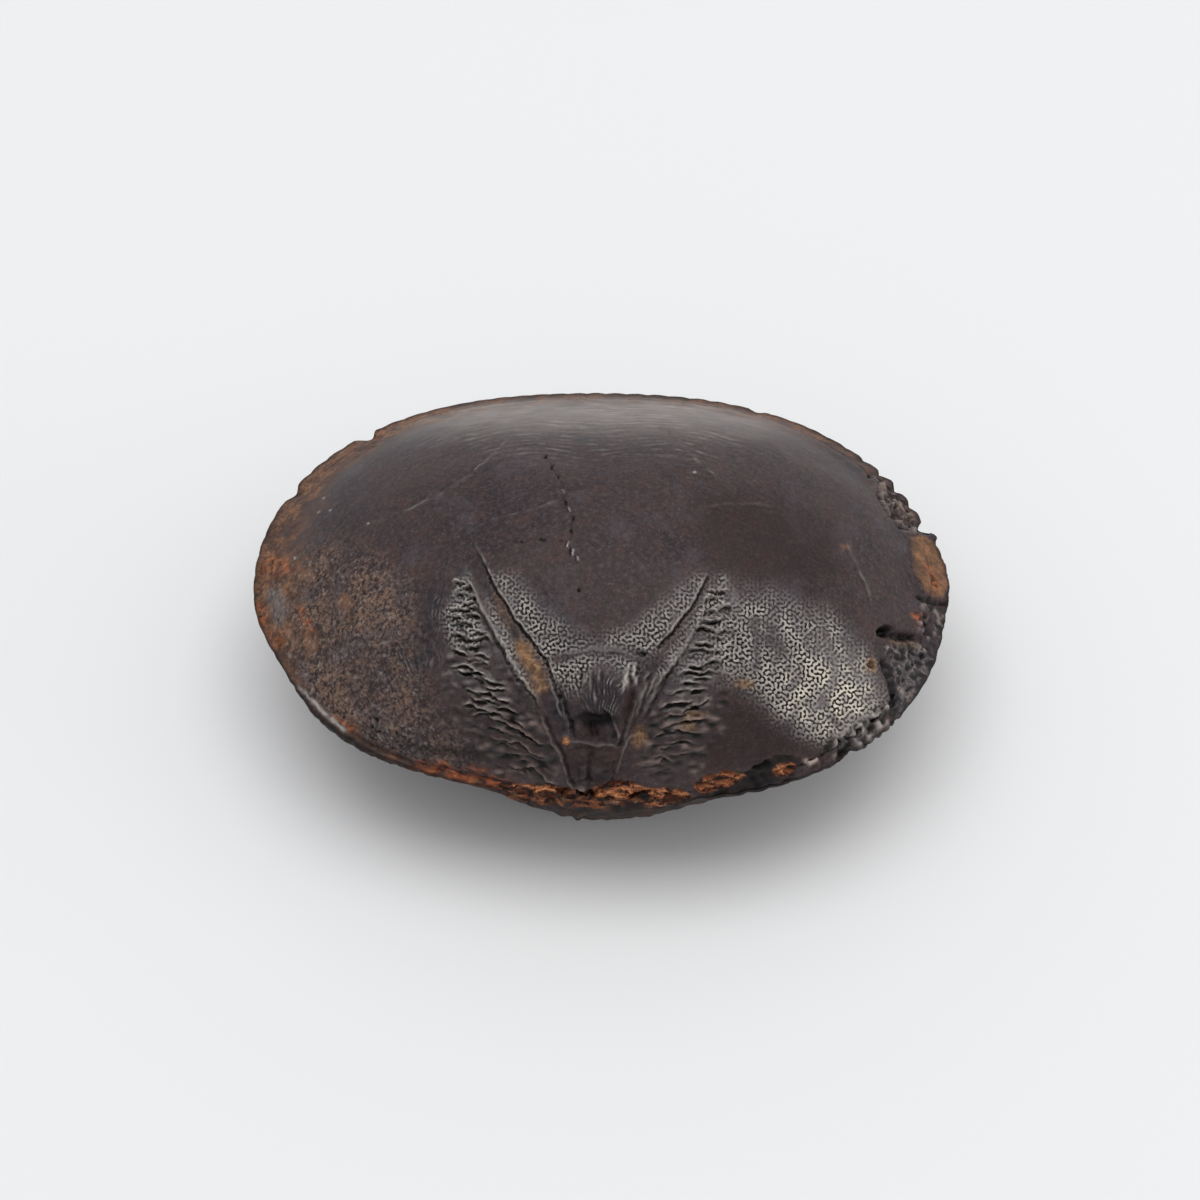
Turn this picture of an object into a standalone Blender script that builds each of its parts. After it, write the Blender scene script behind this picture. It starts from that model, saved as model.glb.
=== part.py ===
"""A fossil brachiopod: the stone filling of the shell, as one closed body.

The two valves are gone and the hardened mud that filled them is left, so the body shows the inside
of the shell: a smooth dome, the muscle scars cut by two clefts in a V, the broken hinge below them,
a crimped rim all round, and the shallower other valve underneath.

X runs along the hinge, -Y is the beak's side, +Z is up. It lies on a small worn flat at z = 0.
All sizes below are millimetres; MM turns them into metres at the very end.
"""
import math

import bmesh
import bpy
import numpy as np

MM = 0.001
NAME = "brachiopod_fossil"

# The outline seen from above, as a radius that changes with the direction from its middle.
MEAN_RADIUS = 17.05
BREADTH = 1.98  # how much the sides reach out and the front and back draw in
LEAN = -0.3  # turns the widest line a little away from X
SQUARENESS = -0.14
MIDDLE = (0.05, 0.45)
FLAT_FLANK = (199, 16, 0.35)  # direction in degrees, half width in degrees, depth in mm

# The dome, which is the filling of the upper valve.
RIM_HEIGHT = 7.4
DOME_HEIGHT = 9.2
DOME_TOP_BACK = 2.8  # how far the top lies behind the outline's middle
DOME_POWER = (2.0, 1.6, 2.4)  # at the sides, the front and the beak
DOME_FULLNESS = (0.88, 1.0, 0.62)
FLANGE_WIDTH = (1.2, 1.1, 0.4)
FLANGE_HEIGHT = (0.45, 0.45, 0.12)

# The filling of the lower valve.
EDGE_THICKNESS = 0.6
BOWL_POWER = 2.0
BEAK_POWER = (272, 30, 1.6)  # the beak makes the bowl's wall steep: direction, half width, more power
BEAK_FULLNESS = (272, 30, 0.25)
RESTING_SHARE = 0.08  # the part of the bowl's radius that is worn flat
RESTING_BACK = 0.2
RESTING_CUT = 0.03  # how much is worn off the bowl's lowest point
LIP = (217, 26, 0.45)  # where the lower edge stands out past the upper one

# The crimped rim.
RIB_COUNT = 84
RIB_HEIGHT = 0.035
RIB_REACH = 0.09  # the share of the radius that the ribs cover
NICKS = ((139, 2.6, 0.5), (158, 2.4, 0.35), (12.6, 1.8, 0.5), (56, 2.2, 0.2), (318, 2.5, 0.25))
WORN_RIM = (27, 19, 0.25)
WORN_RIBS = (27, 22, 0.17)  # how much higher the ribs are where the rim is worn
PLATE = (2, 11, 0.3)

# The scars are laid out on a plane that faces the shell's shoulder: across runs with +X, and up
# climbs the shoulder and goes on over the dome, with 0 on the rim's level at the middle.
FACING = math.radians(48)

LEFT_CLEFT = ((-6.4, 2.3), (-5.7, 0.9), (-4.1, -1.7), (-2.8, -3.2), (-2.2, -4.4), (-1.9, -6.3), (-1.5, -7.8))
RIGHT_CLEFT = ((5.8, 0.9), (4.6, -0.9), (2.9, -2.9), (2.1, -3.7), (1.9, -5.6), (1.3, -7.9))
LEFT_RIDGE = ((-3.0, -6.4), (-2.3, -7.9), (-1.6, -9.5), (-1.1, -10.7))
RIGHT_RIDGE = ((1.9, -7.3), (1.3, -8.0), (0.95, -9.5))
LEFT_STRIP = ((-6.0, 1.4), (-5.0, -0.5), (-3.9, -2.4), (-3.1, -3.9), (-2.8, -5.6))
RIGHT_STRIP = ((5.7, -0.4), (4.5, -2.0), (3.3, -3.7), (2.6, -5.5))
LEFT_INNER_GROOVE = ((-7.0, 0.9), (-6.2, -0.9), (-4.9, -3.2), (-4.0, -4.6), (-2.9, -6.4))
RIGHT_INNER_GROOVE = ((6.2, 0.1), (5.4, -1.7), (3.9, -3.9), (2.8, -5.8), (2.1, -7.1))

LEFT_STEPS = ((-6.9, 0.2), (-6.7, -2.6), (-6.0, -5.2), (-4.6, -7.6), (-3.3, -9.4))
RIGHT_STEPS = ((6.5, -0.4), (6.1, -3.0), (5.2, -5.6), (4.1, -7.6), (3.0, -9.4))
STEP_PITCH = 0.72
STEP_HEIGHT = 0.3
STEP_ZONE = (0.7, 1.7)  # half width at the top and lower down
STEP_SINK = 0.15

# Lumps and hollows on that plane: across, up, half width, half height, rise.
FORMS = {
    "nose": (-0.1, -4.9, 2.0, 1.7, 0.55),
    "recess": (0.3, -7.1, 1.75, 0.75, -1.1),
    "left lobe": (-0.5, -7.3, 0.75, 0.6, 0.6),
    "right lobe": (1.0, -7.2, 0.75, 0.6, 0.6),
    "block": (0.0, -9.0, 1.7, 1.2, 0.3),
    "block groove": (-0.42, -9.2, 0.22, 1.1, -0.3),
    "grain": (-1.5, -7.75, 0.32, 0.32, 0.35),
    "pit by the cleft": (2.35, -3.25, 0.4, 0.3, -0.55),
    "left valley": (-9.0, -2.6, 0.9, 2.9, -0.35),
    "hole": (15.6, -2.25, 0.6, 0.35, -0.9),
    "ochre pit": (14.5, -3.8, 0.35, 0.4, -0.4),
    "pitted patch": (16.3, 4.8, 0.9, 1.2, -0.3),
    "chunk": (16.3, -4.5, 1.1, 1.8, 0.3),
}
CHUNK_GROOVE = ((15.0, -3.5), (15.4, -5.1), (15.6, -6.4))
RIM_CRACK = ((16.9, -0.3), (17.9, -0.7), (19.2, -0.6))

# The row of small pits down the dome.
PIT_ROW = ((-2.8, 7.2), (-2.1, 6.1), (-1.8, 5.2), (-1.3, 3.9), (-1.55, 2.6), (-1.05, 1.7))
PITS_PER_LEG = 2
PIT_RADIUS = 0.22
PIT_DEPTH = 0.3

# Where the hinge broke off: cavities as across, up and radius, and the bite out of the right flank.
CAVITIES = (
    (-4.4, -10.3, 0.4), (-3.3, -10.2, 0.35), (-2.5, -10.2, 0.45), (-1.9, -10.75, 0.35), (-0.5, -10.5, 0.35),
    (0.4, -10.65, 0.4), (1.4, -10.25, 0.4), (2.5, -10.55, 0.5), (3.5, -10.2, 0.4), (4.3, -10.5, 0.3),
)
CAVITY_DEPTH = 0.7
BITE_EDGE = ((4.7, -10.2), (5.9, -9.7), (7.0, -9.15), (7.8, -8.9), (9.1, -8.6), (10.2, -8.9), (10.9, -9.3))
BITE_DEPTH = 0.6

# The mesh that is shaped, and what is left of it.
SECTORS = 420
UPPER_RINGS = 130
LOWER_RINGS = 34
TRIANGLES = 8800

STONE_COLOUR = (0.062, 0.047, 0.046, 1.0)
STONE_ROUGHNESS = 0.5


def bell(angle, place):
    """1 in a direction and 0 beyond its half width, times the depth."""
    middle, half, depth = place
    off = (np.degrees(angle) - middle + 180.0) % 360.0 - 180.0
    return depth * np.where(np.abs(off) < half, np.cos(off / half * np.pi / 2) ** 2, 0.0)


def ramp(value, start, end):
    """0 before start and 1 after end, smooth between them."""
    share = np.clip((value - start) / (end - start), 0.0, 1.0)
    return share * share * (3.0 - 2.0 * share)


def by_side(angle, sizes):
    """A size that changes from the sides to the front and to the beak's side."""
    side, front, back = sizes
    ahead = np.clip(np.sin(angle), 0.0, 1.0) ** 2
    behind = np.clip(-np.sin(angle), 0.0, 1.0) ** 2
    return side * (1.0 - ahead - behind) + front * ahead + back * behind


def outline(angle):
    """The rim's distance from the middle, before it is crimped."""
    radius = MEAN_RADIUS + BREADTH * np.cos(2 * angle) + LEAN * np.sin(2 * angle)
    return radius + SQUARENESS * np.cos(4 * angle) - bell(angle, FLAT_FLANK)


def ribs(angle):
    """The height of the rim's ribs: round lobes with sharp gaps, of uneven strength."""
    uneven = 1.0 + 0.4 * np.sin(5 * angle + 1.0) + 0.3 * np.sin(17 * angle)
    lobes = 2.0 * np.abs(np.cos(RIB_COUNT / 2 * angle + 0.4 * np.sin(7 * angle))) - 1.0
    return (RIB_HEIGHT + bell(angle, WORN_RIBS)) * uneven * lobes


def crimp(angle):
    """What the ribs, nicks and worn stretches add to the rim's radius."""
    change = ribs(angle) - bell(angle, WORN_RIM) + bell(angle, PLATE)
    for nick in NICKS:
        change -= bell(angle, nick)
    return change


def dome(angle, share):
    """A point of the upper filling, from the dome's top (share 0) out to the rim (share 1)."""
    radius = outline(angle)
    flange = by_side(angle, FLANGE_HEIGHT)
    foot = 1.0 - by_side(angle, FLANGE_WIDTH) / radius
    inner = np.clip(share / foot, 0.0, 1.0)
    rise = (1.0 - inner ** by_side(angle, DOME_POWER)) ** by_side(angle, DOME_FULLNESS)
    height = (DOME_HEIGHT - flange) * rise + flange * np.clip((1.0 - share) / (1.0 - foot), 0.0, 1.0)
    radius = radius + crimp(angle) * ramp(share, 1.0 - 1.6 * RIB_REACH, 1.0)
    x = MIDDLE[0] + share * radius * np.cos(angle)
    y = MIDDLE[1] + share * radius * np.sin(angle) - DOME_TOP_BACK * (1.0 - share)
    return np.stack([x, y, RIM_HEIGHT + height], axis=-1)


def bowl(angle, share):
    """A point of the lower filling, from the resting flat (share 0) out to its edge (share 1)."""
    radius = outline(angle) + crimp(angle) * ramp(share, 0.8, 1.0) + bell(angle, LIP) * ramp(share, 0.8, 1.0)
    inner = np.clip((share - RESTING_SHARE) / (1.0 - RESTING_SHARE), 0.0, 1.0)
    rise = 1.0 - (1.0 - inner ** (BOWL_POWER + bell(angle, BEAK_POWER))) ** (1.0 - bell(angle, BEAK_FULLNESS))
    x = MIDDLE[0] + share * radius * np.cos(angle)
    y = MIDDLE[1] + share * radius * np.sin(angle) - RESTING_BACK * (1.0 - share)
    return np.stack([x, y, (RIM_HEIGHT - EDGE_THICKNESS) * rise], axis=-1)


def near_line(line, across, up):
    """Each place's distance from a line of points."""
    best = np.full(across.shape, np.inf)
    for (x0, y0), (x1, y1) in zip(line, line[1:]):
        dx, dy = x1 - x0, y1 - y0
        along = np.clip(((across - x0) * dx + (up - y0) * dy) / (dx * dx + dy * dy), 0.0, 1.0)
        best = np.minimum(best, np.hypot(across - x0 - along * dx, up - y0 - along * dy))
    return best


def furrow(line, width, depth, across, up):
    """A groove along a line (a ridge where the depth is negative), with round shoulders."""
    return -depth * np.exp(-((near_line(line, across, up) / width) ** 2))


def form(place, across, up):
    """A lump or a hollow with an oval foot."""
    x, y, half_width, half_height, rise = place
    reach = np.hypot((across - x) / half_width, (up - y) / half_height)
    return rise * (1.0 - ramp(reach, 0.35, 1.15))


def steps(line, across, up):
    """The stair of small ledges beside each cleft: each one swells downwards and then drops back."""
    distance = near_line(line, across, up)
    wide = STEP_ZONE[0] + (STEP_ZONE[1] - STEP_ZONE[0]) * ramp(-up, 0.0, 3.5)
    inside = 1.0 - ramp(distance / wide, 0.6, 1.1)
    wander = 0.1 * distance**2 + 0.16 * np.sin(2.3 * across + 1.1 * up) + 0.08 * np.sin(5.9 * across - 2.0 * up)
    tooth = np.modf((up + wander) / STEP_PITCH + 100.0)[0]
    swell = np.where(tooth < 0.25, tooth / 0.25, (1.0 - tooth) / 0.75)
    strength = 0.75 + 0.25 * np.sin(3.7 * across + 4.1 * up)
    return inside * (STEP_HEIGHT * strength * swell - STEP_SINK)


def scars(across, up):
    """The height of the muscle scars between and beside the clefts."""
    height = furrow(LEFT_CLEFT, 0.28, 0.55, across, up) + furrow(RIGHT_CLEFT, 0.24, 0.45, across, up)
    height += furrow(LEFT_INNER_GROOVE, 0.3, 0.3, across, up) + furrow(RIGHT_INNER_GROOVE, 0.3, 0.3, across, up)
    height += furrow(LEFT_STRIP, 0.45, -0.25, across, up) + furrow(RIGHT_STRIP, 0.55, -0.2, across, up)
    height += furrow(LEFT_RIDGE, 0.18, -0.3, across, up) + furrow(RIGHT_RIDGE, 0.16, -0.25, across, up)
    height += steps(LEFT_STEPS, across, up) + steps(RIGHT_STEPS, across, up)
    return height


def pits(across, up):
    """Small pits at even steps along each leg of their row."""
    height = np.zeros(across.shape)
    for (x0, y0), (x1, y1) in zip(PIT_ROW, PIT_ROW[1:]):
        for step in range(PITS_PER_LEG):
            share = step / PITS_PER_LEG
            place = (x0 + share * (x1 - x0), y0 + share * (y1 - y0), PIT_RADIUS, PIT_RADIUS, -PIT_DEPTH)
            height += form(place, across, up)
    return height


def damage(across, up):
    """Pits, the loosened piece at the right, and the broken hinge."""
    height = pits(across, up)
    height += furrow(CHUNK_GROOVE, 0.22, 0.4, across, up) + furrow(RIM_CRACK, 0.16, 0.35, across, up)
    for x, y, radius in CAVITIES:
        height += form((x, y, radius, radius, -CAVITY_DEPTH), across, up)
    edge = np.interp(across, *zip(*BITE_EDGE))
    beside = ramp(across, BITE_EDGE[0][0], BITE_EDGE[1][0]) * (1.0 - ramp(across, *(p[0] for p in BITE_EDGE[-2:])))
    lumps = 0.5 + 0.5 * np.sin(4.3 * across) * np.cos(5.1 * up)
    return height - BITE_DEPTH * beside * ramp(edge - up, -0.1, 0.25) * (0.6 + 0.4 * lumps)


def relief(points, share):
    """How far each point of the dome's side moves outwards."""
    across = points[:, 0]
    up = points[:, 1] * math.sin(FACING) + (points[:, 2] - RIM_HEIGHT) * math.cos(FACING)
    height = scars(across, up) + damage(across, up)
    for place in FORMS.values():
        height += form(place, across, up)
    angle = np.arctan2(points[:, 1] - MIDDLE[1], points[:, 0] - MIDDLE[0])
    return height + ribs(angle) * ramp(share, 1.0 - RIB_REACH, 1.0)


def sphere_mesh():
    """A ball whose upper rings become the dome and whose lower rings become the bowl."""
    bm = bmesh.new()
    bmesh.ops.create_uvsphere(bm, u_segments=SECTORS, v_segments=UPPER_RINGS + 1 + LOWER_RINGS, radius=1.0)
    mesh = bpy.data.meshes.new(NAME)
    bm.to_mesh(mesh)
    bm.free()
    return mesh


def read(vertices, name):
    values = np.empty(len(vertices) * 3, dtype=np.float32)
    vertices.foreach_get(name, values)
    return values.reshape(-1, 3).astype(float)


def shape(mesh):
    """Moves each point of the ball to its place on the fossil, then raises the relief on it."""
    ball = read(mesh.vertices, "co")
    angle = np.arctan2(ball[:, 1], ball[:, 0])
    polar = np.arccos(np.clip(ball[:, 2], -1.0, 1.0)) / np.pi
    ring = np.round(polar * (UPPER_RINGS + 1 + LOWER_RINGS))
    above = ring <= UPPER_RINGS
    share = np.where(above, ring / UPPER_RINGS, (UPPER_RINGS + 1 + LOWER_RINGS - ring) / LOWER_RINGS)
    points = np.where(above[:, None], dome(angle, share), bowl(angle, share))
    mesh.vertices.foreach_set("co", points.ravel())
    mesh.update()
    outward = read(mesh.vertices, "normal")
    on_show = np.where(above, 1.0, ramp(share, 0.9, 1.0) * ramp(-np.sin(angle), 0.6, 0.9))
    points += outward * (relief(points, np.where(above, share, 1.0)) * on_show)[:, None]
    mesh.vertices.foreach_set("co", (points * MM).ravel())
    mesh.update()


def thin_out(fossil):
    """Fewer faces where the stone is smooth, and as many as before where it is cut up."""
    thin = fossil.modifiers.new("fewer faces", "DECIMATE")
    faces = sum(len(polygon.vertices) - 2 for polygon in fossil.data.polygons)
    thin.ratio = TRIANGLES / faces
    thin.use_collapse_triangulate = True
    evaluated = fossil.evaluated_get(bpy.context.evaluated_depsgraph_get())
    fossil.data = bpy.data.meshes.new_from_object(evaluated)
    fossil.modifiers.remove(thin)


def wear_flat(mesh):
    """Cuts the flat that the fossil rests on, and sets the fossil on z = 0 over the middle of its box."""
    bm = bmesh.new()
    bm.from_mesh(mesh)
    cut = bmesh.ops.bisect_plane(
        bm, geom=bm.verts[:] + bm.edges[:] + bm.faces[:], dist=1e-7,
        plane_co=(0.0, 0.0, RESTING_CUT * MM), plane_no=(0.0, 0.0, -1.0), clear_outer=True,
    )
    rim = [piece for piece in cut["geom_cut"] if isinstance(piece, bmesh.types.BMEdge)]
    bmesh.ops.contextual_create(bm, geom=rim)
    places = np.array([vert.co for vert in bm.verts])
    middle = (places.max(axis=0) + places.min(axis=0)) / 2
    bmesh.ops.translate(bm, verts=bm.verts, vec=(-middle[0], -middle[1], -RESTING_CUT * MM))
    bmesh.ops.recalc_face_normals(bm, faces=bm.faces)
    bm.to_mesh(mesh)
    bm.free()


def stone():
    material = bpy.data.materials.new("iron_stained_stone")
    material.use_nodes = True
    shader = material.node_tree.nodes["Principled BSDF"]
    shader.inputs["Base Color"].default_value = STONE_COLOUR
    shader.inputs["Roughness"].default_value = STONE_ROUGHNESS
    shader.inputs["Metallic"].default_value = 0.0
    return material


def build():
    for old in list(bpy.data.objects):
        bpy.data.objects.remove(old)
    mesh = sphere_mesh()
    shape(mesh)
    mesh.materials.append(stone())
    fossil = bpy.data.objects.new(NAME, mesh)
    bpy.context.collection.objects.link(fossil)
    thin_out(fossil)
    wear_flat(fossil.data)


build()
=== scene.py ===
# %% [markdown]
# # A fossil brachiopod
#
# A brachiopod is a sea animal with two shells. This one filled with mud when it died, the mud
# turned to stone, and the shells dissolved. What is left is the filling, a mould of the shell's
# inside: a smooth dome, the scars where the muscles held on, a broken hinge below them, a crimped
# rim, and the shallower second shell underneath.
#
# It is one piece of stone, so this lesson makes one mesh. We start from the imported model, which
# gives the fossil's place and size, and we never change that model.

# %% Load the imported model
import math

import bpy
import numpy as np
from mathutils import Euler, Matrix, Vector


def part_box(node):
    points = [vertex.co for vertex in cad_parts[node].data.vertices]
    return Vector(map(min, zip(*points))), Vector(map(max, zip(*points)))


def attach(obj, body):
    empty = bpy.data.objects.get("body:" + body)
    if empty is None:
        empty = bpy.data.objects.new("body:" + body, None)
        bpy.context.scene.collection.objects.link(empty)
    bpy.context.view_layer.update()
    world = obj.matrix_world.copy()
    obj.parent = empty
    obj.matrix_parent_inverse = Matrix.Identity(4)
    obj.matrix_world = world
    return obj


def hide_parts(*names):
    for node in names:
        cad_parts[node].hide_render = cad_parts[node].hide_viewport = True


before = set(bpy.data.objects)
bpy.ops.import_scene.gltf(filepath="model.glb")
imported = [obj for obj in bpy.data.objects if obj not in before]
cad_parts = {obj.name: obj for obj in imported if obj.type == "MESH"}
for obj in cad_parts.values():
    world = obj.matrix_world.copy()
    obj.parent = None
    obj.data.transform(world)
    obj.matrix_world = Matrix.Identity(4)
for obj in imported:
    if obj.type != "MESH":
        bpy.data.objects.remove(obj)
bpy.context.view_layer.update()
box_low, box_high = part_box("brachiopod_fossil")
MM = 0.001
print("the packed fossil, in mm:", [round((high - low) / MM, 2) for low, high in zip(box_low, box_high)])

# %% [markdown]
# ## The form, from a few sizes
#
# Seen from above the rim is nearly an oval. We could bend a circle by hand, but an oval that has to
# match a solid model is easier as a formula: a mean radius, a cosine that makes it broad, and small
# bells that press single places in or out. Every size is in millimetres, with X along the hinge,
# -Y towards the beak and +Z up.

# %% Sizes of the outline, the dome and the bowl
MEAN_RADIUS = 17.05
BREADTH = 1.98
LEAN = -0.3
SQUARENESS = -0.14
SKEW = 0.12  # pushes the front and the beak's side a little to the right
MIDDLE = (0.05, 0.45)
FLAT_FLANK = (199, 16, 0.35)  # direction in degrees, half width in degrees, depth in mm

RIM_HEIGHT = 7.4
DOME_HEIGHT = 9.2
DOME_TOP_BACK = 2.8
DOME_POWER = (2.0, 1.6, 2.4)  # at the sides, the front and the beak
DOME_FULLNESS = (0.88, 1.0, 0.62)
FLANGE_WIDTH = (1.2, 1.1, 0.4)
FLANGE_HEIGHT = (0.45, 0.45, 0.12)

EDGE_THICKNESS = 0.6
EDGE_BULGE = 0.08
EDGE_TUCK = 0.42  # how far the lower edge draws in under the upper one
BOWL_POWER = 2.0
BEAK_POWER = (269, 38, 1.9)
BEAK_FULLNESS = (269, 38, 0.28)
RESTING_SHARE = 0.08
RESTING_BACK = 0.2
RESTING_CUT = 0.03
LIP = (219, 24, 0.3)  # where the lower edge stands out again

RIB_COUNT = 84
RIB_HEIGHT = 0.028
RIB_REACH = 0.09
NICKS = ((139, 2.6, 0.5), (158, 2.4, 0.35), (13.4, 1.6, 0.4), (56, 2.2, 0.2), (318, 2.5, 0.25))
WORN_RIM = (27, 19, 0.06)
WORN_RIBS = (27, 22, 0.11)
PLATE = (1, 11, 0.27)
PLATE_CORNER = (10.9, 2.2, 0.36)


def bell(angle, place):
    """1 in a direction and 0 beyond its half width, times the depth."""
    middle, half, depth = place
    off = (np.degrees(angle) - middle + 180.0) % 360.0 - 180.0
    return depth * np.where(np.abs(off) < half, np.cos(off / half * np.pi / 2) ** 2, 0.0)


def unit(value):
    """The value, kept between 0 and 1."""
    return np.clip(value, 0.0, 1.0)


def ramp(value, start, end):
    """0 before start and 1 after end, smooth between them."""
    share = unit((value - start) / (end - start))
    return share * share * (3.0 - 2.0 * share)


def by_side(angle, sizes):
    """A size that changes from the sides to the front and to the beak's side."""
    side, front, back = sizes
    ahead = unit(np.sin(angle)) ** 2
    behind = unit(-np.sin(angle)) ** 2
    return side * (1.0 - ahead - behind) + front * ahead + back * behind


def outline(angle):
    """The rim's distance from the middle, before it is crimped."""
    radius = MEAN_RADIUS + BREADTH * np.cos(2 * angle) + LEAN * np.sin(2 * angle)
    radius += SQUARENESS * np.cos(4 * angle) + SKEW * (np.cos(angle) - np.cos(3 * angle))
    return radius - bell(angle, FLAT_FLANK)


def ribs(angle):
    """The height of the rim's ribs: round lobes with sharp gaps, of uneven strength."""
    uneven = 1.0 + 0.4 * np.sin(5 * angle + 1.0) + 0.3 * np.sin(17 * angle)
    lobes = 2.0 * np.abs(np.cos(RIB_COUNT / 2 * angle + 0.4 * np.sin(7 * angle))) - 1.0
    return (RIB_HEIGHT + bell(angle, WORN_RIBS)) * uneven * lobes


def crimp(angle):
    """What the ribs, nicks and worn stretches add to the rim's radius."""
    change = ribs(angle) - bell(angle, WORN_RIM) + bell(angle, PLATE) + bell(angle, PLATE_CORNER)
    for nick in NICKS:
        change -= bell(angle, nick)
    return change


print("width from the outline:", round(float(outline(np.array(0.0)) + outline(np.array(np.pi))), 2), "mm")

# %% [markdown]
# ## From a ball to the fossil
#
# A ball is already closed and has rows of points that run round it, just as the growth of the shell
# ran round the dome. So we add one UV sphere and move its rows: most of them become the dome, one
# becomes the thin edge, and the rest become the bowl underneath. Modelling the same thing by hand in
# edit mode would need many loops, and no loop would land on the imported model's surface.
#
# The sphere is added coarse, because Blender takes minutes over a very fine one, and a Subdivision
# modifier in simple mode then cuts each face in 64. Each point remembers its row as a number on the
# mesh, and the new points between two rows get the numbers between.

# %% Add the ball
SECTORS = 175
DOME_ROWS = 54
EDGE_ROWS = 1
BOWL_ROWS = 14
ALL_ROWS = DOME_ROWS + EDGE_ROWS + BOWL_ROWS
CUTS = 3  # each one halves every edge
ROWS_NEAR_RIM = 1.3  # above 1, the rows crowd towards the rim, where the stone is most cut up

bpy.ops.object.select_all(action="DESELECT")
bpy.ops.mesh.primitive_uv_sphere_add(segments=SECTORS, ring_count=ALL_ROWS, radius=1.0)
fossil = bpy.context.object
fossil.name = fossil.data.name = "brachiopod_mould"


def read(layer, name, width=3):
    """The numbers that each point of a mesh holds, as an array."""
    values = np.empty(len(layer) * width, dtype=np.float32)
    layer.foreach_get(name, values)
    return values.reshape(-1, width).astype(float) if width > 1 else values.astype(float)


def store(name, values):
    """Keeps one number per point on the mesh, where cutting and thinning carry it along."""
    layer = fossil.data.attributes.new(name, "FLOAT", "POINT")
    layer.data.foreach_set("value", values.astype(np.float32))


coarse_ball = read(fossil.data.vertices, "co")
rows = np.arccos(np.clip(coarse_ball[:, 2], -1.0, 1.0)) / np.pi * ALL_ROWS
store("row", np.round(rows))
cuts = fossil.modifiers.new("finer", "SUBSURF")
cuts.subdivision_type = "SIMPLE"
cuts.levels = cuts.render_levels = CUTS
bpy.ops.object.modifier_apply(modifier=cuts.name)

ball = read(fossil.data.vertices, "co")
row = read(fossil.data.attributes["row"].data, "value", 1)
fossil.data.attributes.remove(fossil.data.attributes["row"])
angle = np.arctan2(ball[:, 1], ball[:, 0])
on_dome = row <= DOME_ROWS
on_bowl = row >= DOME_ROWS + EDGE_ROWS
share = np.where(on_dome, 1.0 - (1.0 - np.minimum(row / DOME_ROWS, 1.0)) ** ROWS_NEAR_RIM, 1.0)
share = np.where(on_bowl, (ALL_ROWS - row) / BOWL_ROWS, share)
down_edge = unit((row - DOME_ROWS) / EDGE_ROWS)
print(len(ball), "points,", int(on_dome.sum()), "of them on the dome")

# %% [markdown]
# ## The dome, the edge and the bowl
#
# Each point of the ball now has a direction round the fossil and a share of the way out to the rim.
# Two formulas turn these into a place on the dome or in the bowl, and the edge's points are spread
# between the two. Scaling the ball would be quicker, but it gives neither the flat flange inside the
# rim nor the bowl that is fuller under the beak.

# %% Move the rows to the dome, the edge and the bowl


def dome(angle, share):
    """A point of the upper filling, from the dome's top (share 0) out to the rim (share 1)."""
    radius = outline(angle)
    flange = by_side(angle, FLANGE_HEIGHT)
    foot = 1.0 - by_side(angle, FLANGE_WIDTH) / radius
    inner = unit(share / foot)
    rise = (1.0 - inner ** by_side(angle, DOME_POWER)) ** by_side(angle, DOME_FULLNESS)
    height = (DOME_HEIGHT - flange) * rise + flange * unit((1.0 - share) / (1.0 - foot))
    radius = radius + crimp(angle) * ramp(share, 1.0 - 1.6 * RIB_REACH, 1.0)
    x = MIDDLE[0] + share * radius * np.cos(angle)
    y = MIDDLE[1] + share * radius * np.sin(angle) - DOME_TOP_BACK * (1.0 - share)
    return np.stack([x, y, RIM_HEIGHT + height], axis=-1)


def bowl(angle, share):
    """A point of the lower filling, from the resting flat (share 0) out to its edge (share 1)."""
    radius = outline(angle) + (crimp(angle) + bell(angle, LIP) - EDGE_TUCK) * ramp(share, 0.7, 1.0)
    inner = unit((share - RESTING_SHARE) / (1.0 - RESTING_SHARE))
    power, fullness = BOWL_POWER + bell(angle, BEAK_POWER), 1.0 - bell(angle, BEAK_FULLNESS)
    rise = 1.0 - (1.0 - inner**power) ** fullness
    x = MIDDLE[0] + share * radius * np.cos(angle)
    y = MIDDLE[1] + share * radius * np.sin(angle) - RESTING_BACK * (1.0 - share)
    return np.stack([x, y, (RIM_HEIGHT - EDGE_THICKNESS) * rise], axis=-1)


rim_top, rim_bottom = dome(angle, np.ones(len(angle))), bowl(angle, np.ones(len(angle)))
edge = rim_top + (rim_bottom - rim_top) * down_edge[:, None]
bulge = EDGE_BULGE * np.sin(np.pi * down_edge)
edge[:, 0] += bulge * np.cos(angle)
edge[:, 1] += bulge * np.sin(angle)
place = np.where(on_dome[:, None], dome(angle, share), np.where(on_bowl[:, None], bowl(angle, share), edge))
fossil.data.vertices.foreach_set("co", place.ravel())
fossil.data.update()
outward = read(fossil.data.vertices, "normal")
from_rim = (1.0 - share) * outline(angle)  # mm in from the rim, along the way to the middle
print("bare form:", (place.max(axis=0) - place.min(axis=0)).round(2), "mm")

# %% [markdown]
# ## Drawing on the stone
#
# The scars are cut into the shell's shoulder, which faces up and forward. So that a groove can be
# drawn like a pencil line, every point of the dome gets two more numbers on a plane that faces the
# shoulder: how far it lies across, and how far up. A sculpt brush would do the same job by hand, but
# strokes in code are even and can be drawn again exactly.
#
# Each stroke adds to `lift`, the height by which a point leaves the bare form, and to a few tints
# that the finish reads later: how much rust, polish or painted shade there is at that point.

# %% Lay out the drawing plane
TURNED = np.array(Euler((0.5, 0.9, 0.3)).to_matrix())  # so that no lump lines up with an axis
SLOPE_COUNT = 4096
SCATTER = (73856093, 19349663, 83492791)  # large primes, so that neighbouring cells get unlike slopes
NOISE_GAIN = 1.15


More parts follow.
